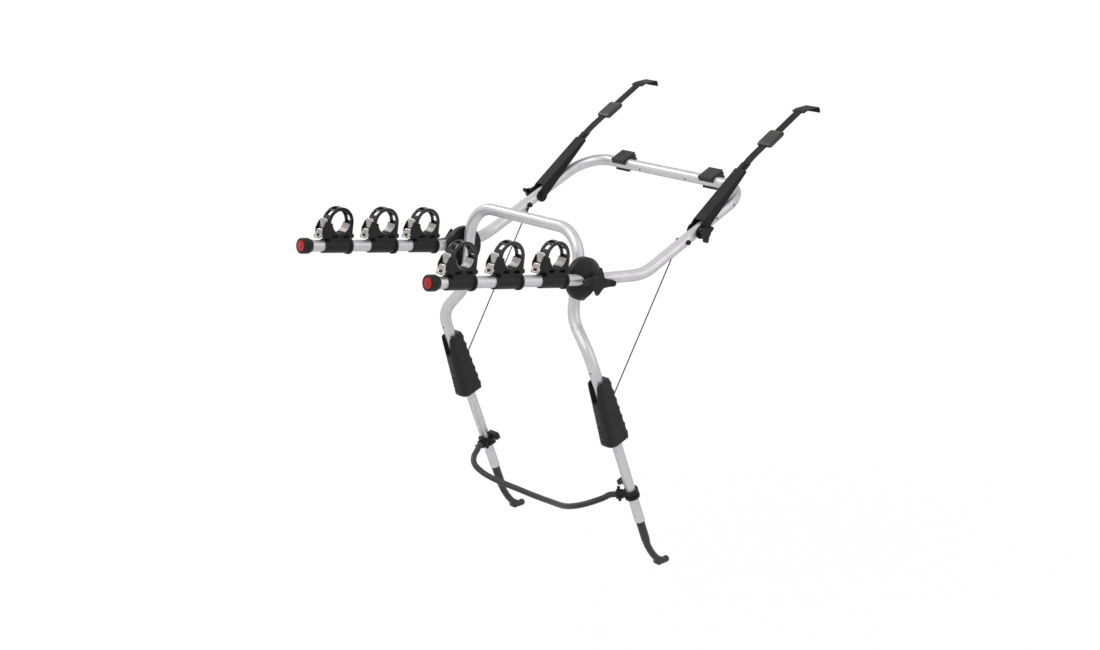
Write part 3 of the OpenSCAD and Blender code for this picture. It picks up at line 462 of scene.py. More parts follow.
class Wardrobe:
    """The materials by slot, and the ways to dress pieces in them."""

    SHARP_ANGLE = 32.0

    def __init__(self) -> None:
        """Builds every finish."""
        effects = Effects()
        self.materials = {(finish.slot, finish.variant): finish.build(effects) for finish in FINISHES}

    def dress(self, piece: Object, slot: Slot, variant: str = "") -> None:
        """Gives a piece one finish.

        Args:
            piece: A mesh or curve.
            slot: The finish's slot.
            variant: Which of the slot's finishes.
        """
        piece.data.materials.clear()
        piece.data.materials.append(self.materials[slot, variant])

    def dress_frame(self) -> None:
        """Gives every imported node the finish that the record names."""
        for part in frame["record"]["subparts"]:
            node = frame["nodes"][part["node"]]
            self.dress(node, Slot(part["material_slot"]))
            node.data.shade_smooth()
            node.data.set_sharp_from_angle(angle=math.radians(self.SHARP_ANGLE))


@dataclass(frozen=True)
class Workshop:
    """Makes the scene's own pieces and joins them to the frame."""

    wardrobe: Wardrobe

    def piece(self, name: str, data: bpy.types.ID, body: str | None, slot: Slot, node: str,
              variant: str = "") -> Object:
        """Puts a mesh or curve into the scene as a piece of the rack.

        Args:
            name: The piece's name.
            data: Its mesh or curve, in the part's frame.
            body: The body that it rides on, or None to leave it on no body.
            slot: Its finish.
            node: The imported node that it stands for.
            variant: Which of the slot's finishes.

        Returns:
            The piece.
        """
        data.name = name
        made = placed(name, data)
        self.wardrobe.dress(made, slot, variant)
        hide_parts(node)
        if body:
            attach(made, body)
        LOG.info("%s: %s", name, slot.value)
        return made


def welded_islands(node: str) -> list[BMesh]:
    """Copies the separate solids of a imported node.

    Args:
        node: The node's name.

    Returns:
        One closed mesh for each solid, the largest first.
    """
    whole = bmesh.new()
    whole.from_mesh(frame["nodes"][node].data)
    bmesh.ops.remove_doubles(whole, verts=whole.verts, dist=WELD)
    whole.verts.index_update()
    unseen = set(whole.verts)
    islands = []
    while unseen:
        island, edge = set(), [unseen.pop()]
        while edge:
            vert = edge.pop()
            island.add(vert)
            near = {link.other_vert(vert) for link in vert.link_edges} & unseen
            unseen -= near
            edge.extend(near)
        islands.append(island)
    meshes = []
    for island in sorted(islands, key=len, reverse=True):
        part = whole.copy()
        part.verts.ensure_lookup_table()
        kept = {vert.index for vert in island}
        bmesh.ops.delete(part, geom=[v for v in part.verts if v.index not in kept], context="VERTS")
        meshes.append(part)
    whole.free()
    return meshes


def to_mesh(source: BMesh, sharp: float = 40.0) -> Mesh:
    """Turns a working mesh into a smooth-shaded mesh.

    Args:
        source: The working mesh, which is freed.
        sharp: Edges that turn by more than this many degrees stay sharp.

    Returns:
        The mesh.
    """
    mesh = bpy.data.meshes.new("made")
    source.to_mesh(mesh)
    source.free()
    mesh.shade_smooth()
    mesh.set_sharp_from_angle(angle=math.radians(sharp))
    return mesh


def modified(mesh: Mesh, **stack: dict[str, object]) -> Mesh:
    """Applies modifiers to a mesh.

    Args:
        mesh: The mesh, which is dropped.
        stack: The modifiers' settings by their types, in order.

    Returns:
        The resulting mesh.
    """
    holder = placed("holder", mesh)
    for kind, settings in stack.items():
        modifier = holder.modifiers.new(kind, kind)
        for name, value in settings.items():
            setattr(modifier, name, value)
    depsgraph = bpy.context.evaluated_depsgraph_get()
    result = bpy.data.meshes.new_from_object(holder.evaluated_get(depsgraph))
    bpy.data.objects.remove(holder)
    bpy.data.meshes.remove(mesh)
    return result


@dataclass(frozen=True)
class Softening:
    """How a plain solid is rounded into moulded rubber."""

    voxel: float
    rounds: int

    SMOOTH_FACTOR = 0.5
    KEPT_FACES = 0.4

    def soften(self, source: BMesh) -> Mesh:
        """Rounds every edge of a solid.

        Args:
            source: The solid, which is freed.

        Returns:
            The rounded mesh.
        """
        mesh = modified(to_mesh(source), REMESH={"mode": "VOXEL", "voxel_size": self.voxel},
                        SMOOTH={"factor": self.SMOOTH_FACTOR, "iterations": self.rounds},
                        DECIMATE={"ratio": self.KEPT_FACES})
        mesh.shade_smooth()
        return mesh


@dataclass(frozen=True)
class RubberParts:
    """The moulded rubber: leg bumpers, foot hooks, frame feet and hook pads."""

    shop: Workshop

    PAIRS = (
        ("leg_bumpers", "lower_frame", Softening(1.5 * MM, 9), MOULDED),
        ("foot_hooks", "legs", Softening(1.0 * MM, 5), ""),
        ("frame_feet", "upper_frame", Softening(0.9 * MM, 3), MOULDED),
    )
    HOOK_PAD = Softening(0.8 * MM, 4)
    BAND_SHARP = 30.0

    def build(self) -> None:
        """Makes every rubber piece."""
        for pair in self.PAIRS:
            self._pair(*pair)
        for side in Side:
            self._hook_band(side)

    def _pair(self, node: str, body: str, softening: Softening, variant: str) -> None:
        """Rounds the two solids of a node.

        Args:
            node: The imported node.
            body: The body that carries it.
            softening: How far it is rounded.
            variant: Which of the rubber finishes it has.
        """
        for number, island in enumerate(welded_islands(node), 1):
            mesh = softening.soften(island)
            self.shop.piece(f"{node}_rubber_{number}", mesh, body, Slot.RUBBER, node, variant)

    def _hook_band(self, side: Side) -> None:
        """Splits a hook band's node into the steel band and its rubber pad.

        Args:
            side: The band's side.
        """
        def height(part: BMesh) -> float:
            """How tall a solid is."""
            levels = [vert.co.z for vert in part.verts]
            return max(levels) - min(levels)

        node = f"hook_band_{side.value}"
        body = f"{side.value}_hook_band"
        pad, *_, band = sorted(welded_islands(node), key=height)
        self.shop.piece(f"{node}_steel", to_mesh(band, self.BAND_SHARP), body, Slot.COAT, node)
        self.shop.piece(f"hook_pad_{side.value}", self.HOOK_PAD.soften(pad), body, Slot.RUBBER, node)


@dataclass
class BlockLattice:
    """A closed surface round the solid cells of a bent block lattice."""

    place: Callable[[int, int, int], Vector]
    solid: Callable[[int, int, int], bool]
    counts: Cell
    corners: dict[Cell, bmesh.types.BMVert] = field(default_factory=dict)

    SHARP = math.radians(40.0)
    SEGMENTS = 2

    def build(self) -> BMesh:
        """Makes the surface.

        Returns:
            A mesh of quads, one for each open cell wall.
        """
        mesh = bmesh.new()
        for cell in product(*map(range, self.counts)):
            if self.solid(*cell):
                self._walls(mesh, cell)
        bmesh.ops.recalc_face_normals(mesh, faces=mesh.faces)
        return mesh

    def _is_solid(self, cell: Sequence[int]) -> bool:
        """Whether a cell is in the lattice and solid."""
        inside = all(0 <= index < count for index, count in zip(cell, self.counts))
        return inside and self.solid(*cell)

    def _walls(self, mesh: BMesh, cell: Cell) -> None:
        """Adds the walls of a cell that face an open cell.

        Args:
            mesh: The mesh that grows.
            cell: The cell's indices.
        """
        for axis, far in product(range(3), (1, 0)):
            beyond = list(cell)
            beyond[axis] += 2 * far - 1
            if self._is_solid(beyond):
                continue
            steps = [(*step[:axis], far, *step[axis:]) for step in UNIT_SQUARE]
            mesh.faces.new([self._corner(mesh, tuple(map(sum, zip(cell, step)))) for step in steps])

    def _corner(self, mesh: BMesh, key: Cell) -> bmesh.types.BMVert:
        """The vertex of a lattice corner, made when it is first asked for."""
        made = self.corners.get(key) or mesh.verts.new(self.place(*key))
        return self.corners.setdefault(key, made)

    def rounded(self, width: float) -> Mesh:
        """Makes the surface with its sharp edges rounded, as far as the width."""
        bevel = dict(width=width, segments=self.SEGMENTS, limit_method="ANGLE", angle_limit=self.SHARP)
        return modified(to_mesh(self.build()), BEVEL=bevel)


def lofted(rings: Sequence[Sequence[Vector]], capped: bool) -> Mesh:
    """Joins closed rings of points to one skin.

    Args:
        rings: The rings, with as many points each.
        capped: Whether faces close the first and last ring, which are single points otherwise.

    Returns:
        The closed skin.
    """
    made = bmesh.new()
    loops = [[made.verts.new(point) for point in ring] for ring in rings]
    for low, high in zip(loops, loops[1:]):
        for i in range(len(low)):
            after = (i + 1) % len(low)
            made.faces.new((low[i], low[after], high[after], high[i]))
    if capped:
        made.faces.new(loops[0])
        made.faces.new(loops[-1])
    else:
        bmesh.ops.remove_doubles(made, verts=made.verts, dist=WELD)
    bmesh.ops.recalc_face_normals(made, faces=made.faces)
    return to_mesh(made)


def round_turns(sides: int) -> list[float]:
    """Even steps round a circle, in radians."""
    return [2 * math.pi * step / sides for step in range(sides)]


def turned(half: Sequence[tuple[float, float]], matrix: Matrix) -> Mesh:
    """Turns a profile about the local X axis, the same on both sides of the middle.

    Args:
        half: Pairs of x and radius, from the left end to the middle.
        matrix: From the local frame to the part's frame.

    Returns:
        The turned mesh.
    """
    rings = []
    for x, radius in (*half, *((-x, radius) for x, radius in reversed(half))):
        rings.append([matrix @ Vector((x, radius * math.cos(turn), radius * math.sin(turn)))
                      for turn in round_turns(TURN_SIDES)])
    return lofted(rings, capped=False)


def smooth_loop(knots: Sequence[Vector], steps: int) -> list[Vector]:
    """A closed smooth curve through some points.

    Args:
        knots: The points, in order.
        steps: Points for each span.

    Returns:
        The curve's points.
    """
    loop = []
    count = len(knots)
    for i in range(count):
        before, start, end, after = (knots[(i + k) % count] for k in (-1, 0, 1, 2))
        slope = end - before
        bend = 2 * before - 5 * start + 4 * end - after
        twist = 3 * start - before - 3 * end + after
        for step in range(steps):
            t = step / steps
            loop.append(0.5 * (2 * start + slope * t + bend * t * t + twist * t ** 3))
    return loop


@dataclass(frozen=True)
class PressedPlate:
    """A plate of the buckle: a smooth side outline, rounded ends and a dished front.

    The outline's knots, the dish and the tip are in mm from the plate's pivot.
    """

    knots: tuple[tuple[float, float], ...]
    width: float
    edge_r: float
    dish: tuple[float, float]
    dish_half: tuple[float, float]
    dish_depth: float
    tip_from: float = 0.0
    tip_l: float = 1.0
    tip_cut: float = 0.0
    # Thickness of the black sheet that paints shade into the dish; none where zero.
    grip_t: float = 0.0

    COLUMNS = 18
    ROUND_STEPS = 4
    SPAN_STEPS = 7
    DISH_SLOPE = 0.4
    FRONT_TURN = 0.3
    # Rings and sides of the black sheet that paints shade into the dish.
    PAINTED_SHADE_RINGS = (0.0, 0.3, 0.55, 0.7, 0.75)
    PAINTED_SHADE_SIDES = 36

    def build(self, matrix: Matrix) -> Mesh:
        """Makes the plate.

        Args:
            matrix: From the pivot's frame to the part's frame.

        Returns:
            The plate's mesh.
        """
        rim = self._outline()
        rings = []
        for across, inset in self._columns():
            rings.append([matrix @ self._sunk(across * self._half_width(point.z), point, normal, inset)
                          for point, normal in rim])
        return lofted(rings, capped=True)

    def grip(self, matrix: Matrix) -> Mesh:
        """Makes the dark oval sheet that fills the bottom of the dish, a painted shade of the recess.

        Args:
            matrix: From the pivot's frame to the part's frame.

        Returns:
            The grip's mesh.
        """
        rim = self._outline()
        middle = Vector((0.0, *self.dish)) * MM
        start = min(range(len(rim)), key=lambda i: (rim[i][0] - middle).length)
        across, along = (half * MM for half in self.dish_half)
        front = [(share, -self.grip_t / 2) for share in self.PAINTED_SHADE_RINGS]
        back = [(share, self.grip_t / 2) for share in reversed(self.PAINTED_SHADE_RINGS)]
        rings = []
        for share, sink in (*front, *back):
            ring = []
            for turn in round_turns(self.PAINTED_SHADE_SIDES):
                point, normal = self._walk(rim, start, share * along * math.sin(turn))
                ring.append(matrix @ self._sunk(share * across * math.cos(turn), point, normal, sink))
            rings.append(ring)
        return lofted(rings, capped=False)

    def _outline(self) -> list[tuple[Vector, Vector]]:
        """Samples the side outline.

        Returns:
            Its points, each with the inward direction there.
        """
        loop = smooth_loop([Vector((0.0, y, z)) * MM for y, z in self.knots], self.SPAN_STEPS)
        middle = sum(loop, Vector()) / len(loop)
        inward = []
        for i, point in enumerate(loop):
            along = loop[(i + 1) % len(loop)] - loop[i - 1]
            normal = Vector((0.0, -along.z, along.y)).normalized()
            inward.append(normal if normal.dot(middle - point) > 0 else -normal)
        return list(zip(loop, inward))

    @staticmethod
    def _walk(rim: list[tuple[Vector, Vector]], start: int, length: float) -> tuple[Vector, Vector]:
        """Finds a place along the outline.

        Args:
            rim: The outline's points and inward directions.
            start: Index of the point to walk from.
            length: How far to walk, back where it is negative.

        Returns:
            The point there and the inward direction.
        """
        turn = 1 if length > 0 else -1
        left, here = abs(length), start
        while True:
            after = (here + turn) % len(rim)
            span = (rim[after][0] - rim[here][0]).length
            if left <= span:
                return tuple(a.lerp(b, left / span) for a, b in zip(rim[here], rim[after]))
            left, here = left - span, after

    def _columns(self) -> list[tuple[float, float]]:
        """Spaces the rings across the plate.

        Returns:
            Their places, as shares of its half width, with the outline's inset there.
        """
        half = self.width / 2
        side = []
        for step in range(self.ROUND_STEPS):
            turn = math.pi / 2 * step / (self.ROUND_STEPS - 1)
            drawn = self.edge_r * (1 - math.sin(turn))
            side.append(((half - self.edge_r * (1 - math.cos(turn))) / half, drawn))
        inner = side[-1][0]
        even = [(inner * (2 * k / self.COLUMNS - 1), 0.0) for k in range(1, self.COLUMNS)]
        return [*((-share, drawn) for share, drawn in side), *even, *reversed(side)]

    def _half_width(self, z: float) -> float:
        """Half the plate's width at a height, rounded off towards its tip."""
        share = min(max((self.tip_from * MM - z) / (self.tip_l * MM), 0.0), 1.0)
        return self.width / 2 * (1 - self.tip_cut * share * share)

    def _sunk(self, x: float, point: Vector, inward: Vector, sink: float) -> Vector:
        """A point of the plate, below its outline and its dish.

        Args:
            x: The place across the plate.
            point: The outline's point.
            inward: The inward direction there.
            sink: How far below the surface.

        Returns:
            The point in the pivot's frame.
        """
        if inward.y >= self.FRONT_TURN:
            across, along = (half * MM for half in self.dish_half)
            rise = math.hypot(point.y - self.dish[0] * MM, point.z - self.dish[1] * MM) / along
            spread = 1 - rise ** 2 - (x / across) ** 2
            sink += self.dish_depth * min(max(spread / self.DISH_SLOPE, 0.0), 1.0)
        spot = point + inward * sink
        return Vector((x, spot.y, spot.z))


@dataclass(frozen=True)
class CradleSizes:
    """Sizes of a cradle's strap, pads and buckle; heights are from the middle of the arm."""

    bike_r: float = 24.0 * MM
    pad_t: float = 2.4 * MM
    pad_inset: float = 1.0 * MM
    pad_crown: float = 0.5 * MM
    pad_edge: float = 0.6 * MM
    width: float = 30.0 * MM
    strap_w: float = 25.4 * MM
    strap_edge: float = 0.7 * MM
    rim_w: float = 3.0 * MM
    strap_r: float = 37.5 * MM
    arch_t: float = 8.5 * MM
    leg_t: float = 5.7 * MM
    rung_drop: float = 0.9 * MM
    rung_t: float = 2.6 * MM
    saddle_z: float = 57.0 * MM
    anchor_z: float = 26.0 * MM
    anchor_r: float = 2.5 * MM
    anchor_edge: float = 0.4 * MM
    knuckle_r: float = 4.1 * MM
    knuckle_edge: float = 0.5 * MM
    tip_l: float = 4.0 * MM
    tip_t: float = 4.5 * MM
    pin_dome: float = 0.6 * MM
    lever_pin_r: float = 2.5 * MM
    release_pin_r: float = 1.8 * MM
    # The lever's dish holds a black sheet as painted shade.
    lever: PressedPlate = PressedPlate(
        ((-3.4, 4.2), (1.8, 3.6), (1.6, -5.0), (-3.6, -13.6), (-8.6, -17.8), (-11.8, -17.4),
         (-11.2, -12.6), (-7.0, -5.0)),
        width=25.2 * MM, edge_r=1.1 * MM, dish=(-9.6, -10.0), dish_half=(8.6, 5.2), dish_depth=1.5 * MM,
        tip_from=-8.0, tip_l=10.0, tip_cut=0.22, grip_t=0.5 * MM)
    release: PressedPlate = PressedPlate(
        ((-4.8, -11.8), (-1.4, -12.2), (1.4, -7.0), (2.0, 3.6), (0.6, 10.8), (-1.6, 11.2),
         (-3.8, 4.0), (-3.8, -3.0)),
        width=25.2 * MM, edge_r=1.1 * MM, dish=(-3.6, 1.0), dish_half=(8.4, 5.6), dish_depth=0.7 * MM)

    @property
    def hinge(self) -> Vector:
        """The strap's hinge, from the middle of the held tube."""
        return Vector((0.0, self.strap_r - self.leg_t / 2, self.anchor_z - self.saddle_z))


@dataclass(frozen=True)
class Station:
    """A cut across the strap: its outer face, the way inward in degrees and what follows it."""

    y: float
    z: float
    inward: float
    depth: float
    window: bool


class Cradle:
    """One cradle's ladder strap, its two saddle pads and the two plates of its buckle."""

    LEG_STEPS = ((0.0, False), (0.18, False), (0.38, True), (0.52, True), (0.66, True), (0.80, False))
    WINDOW_STEPS = 5
    RUNG_STEPS = 2
    WINDOWS = 6
    PAD_ARC = (-62.0, -5.0)
    PAD_STEPS = 10
    PAD_COLUMNS = 6
    DOME = ((0.0, 0.0), (0.1, 0.55), (0.5, 0.85), (1.0, 1.0))

    def __init__(self, shop: Workshop, rig: Rig, side: Side, number: int) -> None:
        """Finds the cradle's place from its strap's hinge.

        Args:
            shop: The workshop.
            rig: The joints.
            side: The arm's side.
            number: The cradle's number on the arm, from 1.
        """
        self.shop = shop
        self.rig = rig
        self.sizes = CradleSizes()
        self.name = f"{side.value}_cradle_{number}"
        self.tilt = rig.pitch(f"{self.name}_slide")
        hinge = rig.anchor(f"{self.name}_strap_turn")
        self.matrix = leaning(hinge, self.tilt) @ Matrix.Translation(-self.sizes.hinge)

    def build(self) -> None:
        """Makes the strap, the pads and the buckle."""
        self._strap()
        self._knuckle()
        for number, mirror in enumerate((1.0, -1.0), 1):
            self._pad(number, mirror)
        self._plate("lever", self.sizes.lever, self.sizes.lever_pin_r)
        self._plate("release", self.sizes.release, self.sizes.release_pin_r)

    def _add(self, kind: str, ending: str, mesh: Mesh, slot: Slot) -> None:
        """Puts a mesh into the scene for a moving piece's node, with an ending to its name."""
        body = f"{self.name}_{kind}"
        self.shop.piece(f"{body}_{ending}", mesh, body, slot, body)

    def _plate(self, kind: str, plate: PressedPlate, radius: float) -> None:
        """Makes one plate of the buckle with its pin, and a black sheet in its dish as painted shade.

        Args:
            kind: The plate's name in nodes, bodies and joints.
            plate: Its form.
            radius: Its pin's radius.
        """
        matrix = leaning(self.rig.anchor(f"{self.name}_{kind}_turn"), self.tilt)
        self._add(kind, "plate", plate.build(matrix), Slot.BUCKLE)
        # A black sheet in the dish paints the recess's shade.
        if plate.grip_t:
            self._add(kind, "grip", plate.grip(matrix), Slot.PLASTIC)
        dome = self.sizes.pin_dome
        reach = self.sizes.width / 2 + dome
        half = [(depth * dome - reach, share * radius) for depth, share in self.DOME]
        self._add(kind, "pin", turned(half, matrix), Slot.COAT)

    def _stations(self) -> list[Station]:
        """Stations along the strap, from its hinge over the arch to its tip.

        Returns:
            The stations in order.
        """
        sizes = self.sizes
        drop = sizes.saddle_z - sizes.anchor_z
        stations = [Station(sizes.strap_r, -drop * (1 - share), 180.0, sizes.leg_t, window)
                    for share, window in self.LEG_STEPS]
        period = self.WINDOW_STEPS + self.RUNG_STEPS
        total = self.WINDOWS * period
        for step in range(total + 1):
            angle = 180.0 * step / total
            turn = math.radians(angle)
            open_here = step % period >= self.RUNG_STEPS and step // period < self.WINDOWS - 1
            stations.append(Station(sizes.strap_r * math.cos(turn), sizes.strap_r * math.sin(turn),
                                    180.0 + angle, sizes.arch_t, open_here))
        stations.append(Station(-sizes.strap_r, -sizes.tip_l, 360.0, sizes.tip_t, False))
        return stations

    def _strap(self) -> None:
        """Makes the ladder strap with its raised rims and its rungs."""
        sizes = self.sizes
        stations = self._stations()
        half, rim = sizes.strap_w / 2, sizes.rim_w
        columns = (-half, -half + rim, half - rim, half)

        def place(i: int, j: int, k: int) -> Vector:
            """Finds a corner of the lattice.

            Args:
                i: Its station.
                j: Its column.
                k: Its layer, from the outside in.

            Returns:
                The corner in the part's frame.
            """
            at = stations[i]
            reach = (0.0, sizes.rung_drop, sizes.rung_drop + sizes.rung_t, at.depth)[k]
            turn = math.radians(at.inward)
            across = Vector((0.0, math.cos(turn), math.sin(turn)))
            return self.matrix @ (Vector((columns[j], at.y, at.z)) + reach * across)

        def solid(i: int, j: int, k: int) -> bool:
            """Rims run through, and rungs lie between the windows, below the rims."""
            return j != 1 or k == 1 and not stations[i].window

        lattice = BlockLattice(place, solid, (len(stations) - 1, len(columns) - 1, 3))
        self._add("strap", "web", lattice.rounded(sizes.strap_edge), Slot.STRAP)

    def _knuckle(self) -> None:
        """Makes the round hinge end of the strap with its pin."""
        sizes = self.sizes
        end, side = -sizes.width / 2, -sizes.strap_w / 2
        half = ((end, 0.0), (end, sizes.anchor_r - sizes.anchor_edge),
                (end + sizes.anchor_edge, sizes.anchor_r), (side, sizes.anchor_r),
                (side, sizes.knuckle_r - sizes.knuckle_edge), (side + sizes.knuckle_edge, sizes.knuckle_r))
        made = turned(half, self.matrix @ Matrix.Translation(sizes.hinge))
        self._add("strap", "hinge", made, Slot.STRAP)

    def _pad(self, number: int, mirror: float) -> None:
        """Makes a saddle pad, crowned across its width.

        Args:
            number: The pad's number.
            mirror: The sign of its side of the saddle.
        """
        sizes = self.sizes
        half = sizes.width / 2 - sizes.pad_inset
        low, high = self.PAD_ARC

        def place(i: int, j: int, k: int) -> Vector:
            """Finds a corner of the lattice.

            Args:
                i: Its step round the saddle.
                j: Its column.
                k: Its layer, from the inside out.

            Returns:
                The corner in the part's frame.
            """
            turn = math.radians(low + (high - low) * i / self.PAD_STEPS)
            across = 2.0 * j / self.PAD_COLUMNS - 1.0
            crown = sizes.pad_crown * across * across * (1 - k)
            radius = sizes.bike_r + crown + k * (sizes.pad_t - crown)
            spot = Vector((half * across, mirror * radius * math.cos(turn), radius * math.sin(turn)))
            return self.matrix @ spot

        lattice = BlockLattice(place, lambda i, j, k: True, (self.PAD_STEPS, self.PAD_COLUMNS, 1))
        mesh = lattice.rounded(sizes.pad_edge)
        pad = self.shop.piece(f"{self.name}_pad_{number}", mesh, self.name, Slot.PAD, f"{self.name}_pads")


@dataclass(frozen=True)
class HoseRoute:
    """The hose, with half of its route in mm from the hub axis: from the right clamp to the middle."""

    diameter: float = 15.0 * MM
    half: tuple[Triple, ...] = (
        (261.9, 93.05, -552.11), (254.9, 80.93, -552.11), (247.9, 68.80, -552.11), (240, 54, -559),
        (226, 32, -567), (204, 15, -577), (174, 11, -588), (140, 18, -599), (100, 30, -608),
        (60, 40, -614), (25, 44, -617))

    def points(self, hub: Vector) -> list[Vector]:
        """The whole route in the part's frame.

        Args:
            hub: A point on the hub axis, midway between the sides.

        Returns:
            The points from the right clamp to the left one.
        """
        right = [Vector(p) * MM for p in self.half]
        left = [Vector((-p.x, p.y, p.z)) for p in reversed(right)]
        return [hub + p for p in [*right, *left]]


@dataclass(frozen=True)
class Lines:
    """The hose and the two tension wires."""

    shop: Workshop
    rig: Rig

    HOSE_ROUND = 6
    HOSE_STEPS = 8
    WIRE_COAT = 0.35 * MM
    WIRE_CUTS = 40
    WIRE_LONG_EDGE = 100.0 * MM
    WIRE_STIFF_TOP = 0.08

    def build(self) -> None:
        """Makes the hose and the wires."""
        self._hose()
        wires = sorted(welded_islands("tension_wires"), key=lambda part: sum(v.co.x for v in part.verts))
        for side, island in zip(Side, wires):
            self._wire(side, island)

    def _hose(self) -> None:
        """Makes the hose as one smooth curve."""
        route = HoseRoute()
        points = route.points(self.rig.anchor("upper_fold"))
        curve = bpy.data.curves.new("hose_rubber", "CURVE")
        curve.dimensions = "3D"
        curve.bevel_depth = route.diameter / 2
        curve.bevel_resolution = self.HOSE_ROUND
        curve.resolution_u = self.HOSE_STEPS
        curve.use_fill_caps = True
        spline = curve.splines.new("BEZIER")
        spline.bezier_points.add(len(points) - 1)
        for knot, point in zip(spline.bezier_points, points):
            knot.co = point
            knot.handle_left_type = knot.handle_right_type = "AUTO"
        hose = self.shop.piece("hose_rubber", curve, "legs", Slot.RUBBER, "hose")
        bpy.context.view_layer.update()

    def _wire(self, side: Side, island: BMesh) -> None:
        """Makes one wire, thickened by its coat and attached to no body.

        Args:
            side: The wire's side.
            island: The wire's plain solid.
        """
        for vert in island.verts:
            vert.co += vert.normal * self.WIRE_COAT
        long_edges = [e for e in island.edges if e.calc_length() > self.WIRE_LONG_EDGE]
        bmesh.ops.subdivide_edges(island, edges=long_edges, cuts=self.WIRE_CUTS, use_grid_fill=True)
        name = f"tension_wire_{side.value}"
        wire = self.shop.piece(name, to_mesh(island), None, Slot.WIRE, "tension_wires")
        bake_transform(wire)


@dataclass(frozen=True)
class PhotoView:
    """The photograph's camera, from the hub axis."""

    azimuth: float = 48.0
    elevation: float = 15.5
    focal_pixels: float = 2076.4
    sensor: float = 36.0
    offset: Triple = (3.7055, -3.2420, 1.2056)

    def build(self, hub: Vector) -> None:
        """Makes the camera.

        Args:
            hub: A point on the hub axis, midway between the sides.
        """
        data = bpy.data.cameras.new("photo_view")
        data.sensor_width = self.sensor
        data.lens = self.focal_pixels / PHOTO_WIDTH * self.sensor
        camera = placed("photo_view", data)
        camera.location = hub + Vector(self.offset)
        tilt = math.radians(90.0 - self.elevation)
        camera.rotation_euler = (tilt, 0.0, math.radians(self.azimuth))
        bpy.context.scene.camera = camera


@dataclass(frozen=True)
class Lamp:
    """A soft square lamp, placed from the point that it looks at."""

    name: str
    place: Triple
    size: float
    power: float

    def build(self, target: Vector) -> None:
        """Makes the lamp.

        Args:
            target: The point that it looks at.
        """
        data = bpy.data.lights.new(self.name, "AREA")
        data.shape = "SQUARE"
        data.size = self.size
        data.energy = self.power
        lamp = placed(self.name, data)
        lamp.location = target + Vector(self.place)
        lamp.rotation_euler = (-Vector(self.place)).to_track_quat("-Z", "Y").to_euler()


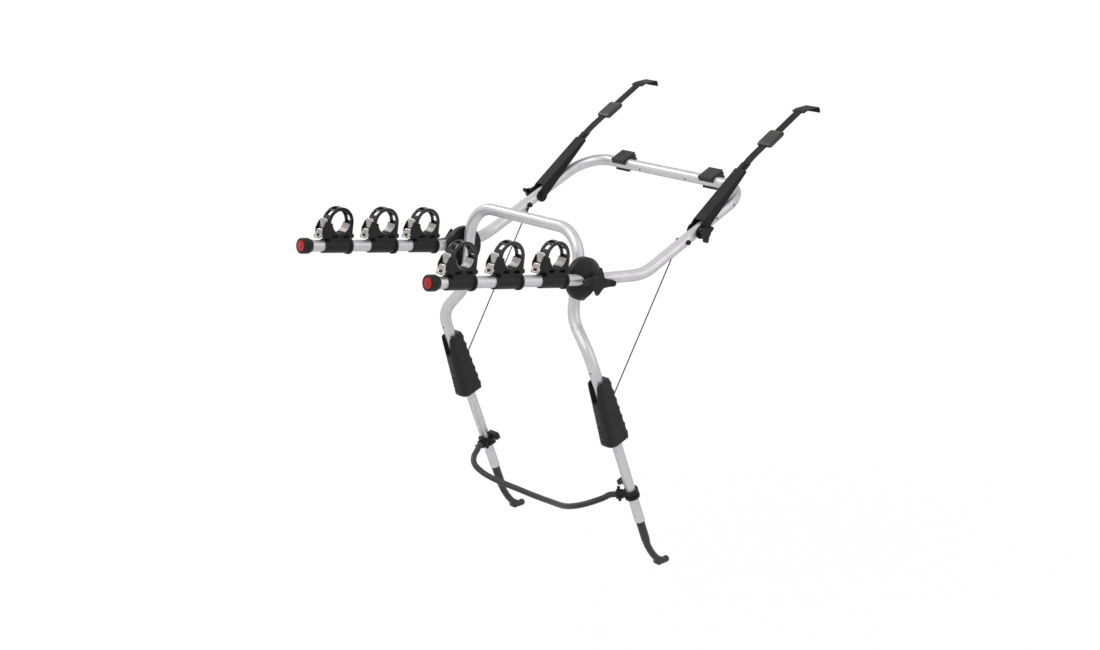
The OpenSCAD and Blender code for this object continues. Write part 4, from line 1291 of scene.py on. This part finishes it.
class Studio:
    """The floor, the lamps, the surrounding light and the camera."""

    LAMPS = (
        Lamp("key", (0.2, -2.9, 2.9), 3.6, 80.0),
        Lamp("fill", (3.3, 1.3, 1.6), 3.0, 26.0),
        Lamp("rim", (-3.4, -0.6, 2.9), 1.3, 42.0),
    )
    FLOOR_DROP = 0.32
    FLOOR_SIZE = 40.0
    FLOOR_COLOUR = (0.86, 0.86, 0.86)
    FLOOR_WHITE = 0.9
    FLOOR_FADE = (0.8, 2.6)
    WHITE = (1.0, 1.0, 1.0)
    ROOM = (0.24, 0.24, 0.245)
    BACKDROP = (-0.62, 0.54, 0.57)
    BACKDROP_EDGE = (-0.4, 0.6)

    def __init__(self, rig: Rig) -> None:
        """Finds the middle of the rack."""
        self.hub = rig.anchor("upper_fold")

    def build(self) -> None:
        """Makes the stage."""
        bpy.context.scene.view_settings.view_transform = "Standard"
        PhotoView().build(self.hub)
        self._floor()
        self._sky()
        for lamp in self.LAMPS:
            lamp.build(self.hub)

    def _floor(self) -> None:
        """Makes the pale floor, which the camera sees as white with a faint shadow."""
        mesh = bpy.data.meshes.new("floor")
        spots = [((x - 0.5) * self.FLOOR_SIZE, (y - 0.5) * self.FLOOR_SIZE, -self.FLOOR_DROP)
                 for x, y in UNIT_SQUARE]
        mesh.from_pydata(spots, [], [(0, 1, 2, 3)])
        floor = placed("floor", mesh)
        material = bpy.data.materials.new("pale_floor")
        material.use_nodes = True
        material.cycles.emission_sampling = "NONE"
        nodes = NodeTree(material.node_tree)
        material.node_tree.nodes.clear()
        matt = nodes.add("BsdfDiffuse", {"Color": self.FLOOR_COLOUR})
        white = nodes.add("Emission")
        reach = nodes.measure("LENGTH", nodes.add("TexCoord").outputs["Object"])
        fade = nodes.math("MULTIPLY", nodes.spread(reach, *self.FLOOR_FADE), 1.0 - self.FLOOR_WHITE)
        share = nodes.math("MULTIPLY", self._seen(nodes), nodes.math("ADD", fade, self.FLOOR_WHITE))
        mixed = nodes.add("MixShader",
                          {"Fac": share, 1: matt.outputs["BSDF"], 2: white.outputs["Emission"]})
        nodes.add("OutputMaterial", {"Surface": mixed.outputs["Shader"]})
        mesh.materials.append(material)

    def _sky(self) -> None:
        """Makes the surrounding light: a white backdrop and a dim room, both white where they are seen."""
        world = bpy.data.worlds.new("studio")
        bpy.context.scene.world = world
        world.use_nodes = True
        nodes = NodeTree(world.node_tree)
        background = world.node_tree.nodes["Background"]
        place = nodes.add("TexCoord")
        facing = nodes.measure("DOT_PRODUCT", place.outputs["Generated"], self.BACKDROP)
        shade = nodes.mix(nodes.spread(facing, *self.BACKDROP_EDGE), self.ROOM, self.WHITE)
        nodes.feed(background.inputs["Color"], nodes.mix(self._seen(nodes), shade, self.WHITE))

    @staticmethod
    def _seen(nodes: NodeTree) -> Socket:
        """Picks the rays that show the background: the camera's own, mirrored and transmitted ones.

        Args:
            nodes: The tree that needs them.

        Returns:
            One for these rays and zero for others.
        """
        rays = nodes.add("LightPath")
        mirrored = nodes.math("MAXIMUM", rays.outputs["Is Glossy Ray"], rays.outputs["Is Transmission Ray"])
        return nodes.math("MAXIMUM", rays.outputs["Is Camera Ray"], mirrored)


def corners(box: Sequence[Vector]) -> list[list[float]]:
    """A box as plain lists of numbers."""
    return [list(corner) for corner in box]


def main() -> None:
    """Builds the rack's looks and its stage."""
    logging.basicConfig(level=logging.INFO, format="%(name)s: %(message)s")
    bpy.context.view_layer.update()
    rig = Rig()
    Studio(rig).build()
    wardrobe = Wardrobe()
    wardrobe.dress_frame()
    shop = Workshop(wardrobe)
    Lines(shop, rig).build()
    RubberParts(shop).build()
    for side in Side:
        for number in range(1, CRADLES_PER_ARM + 1):
            Cradle(shop, rig, side, number).build()


if __name__ == "__main__":
    main()
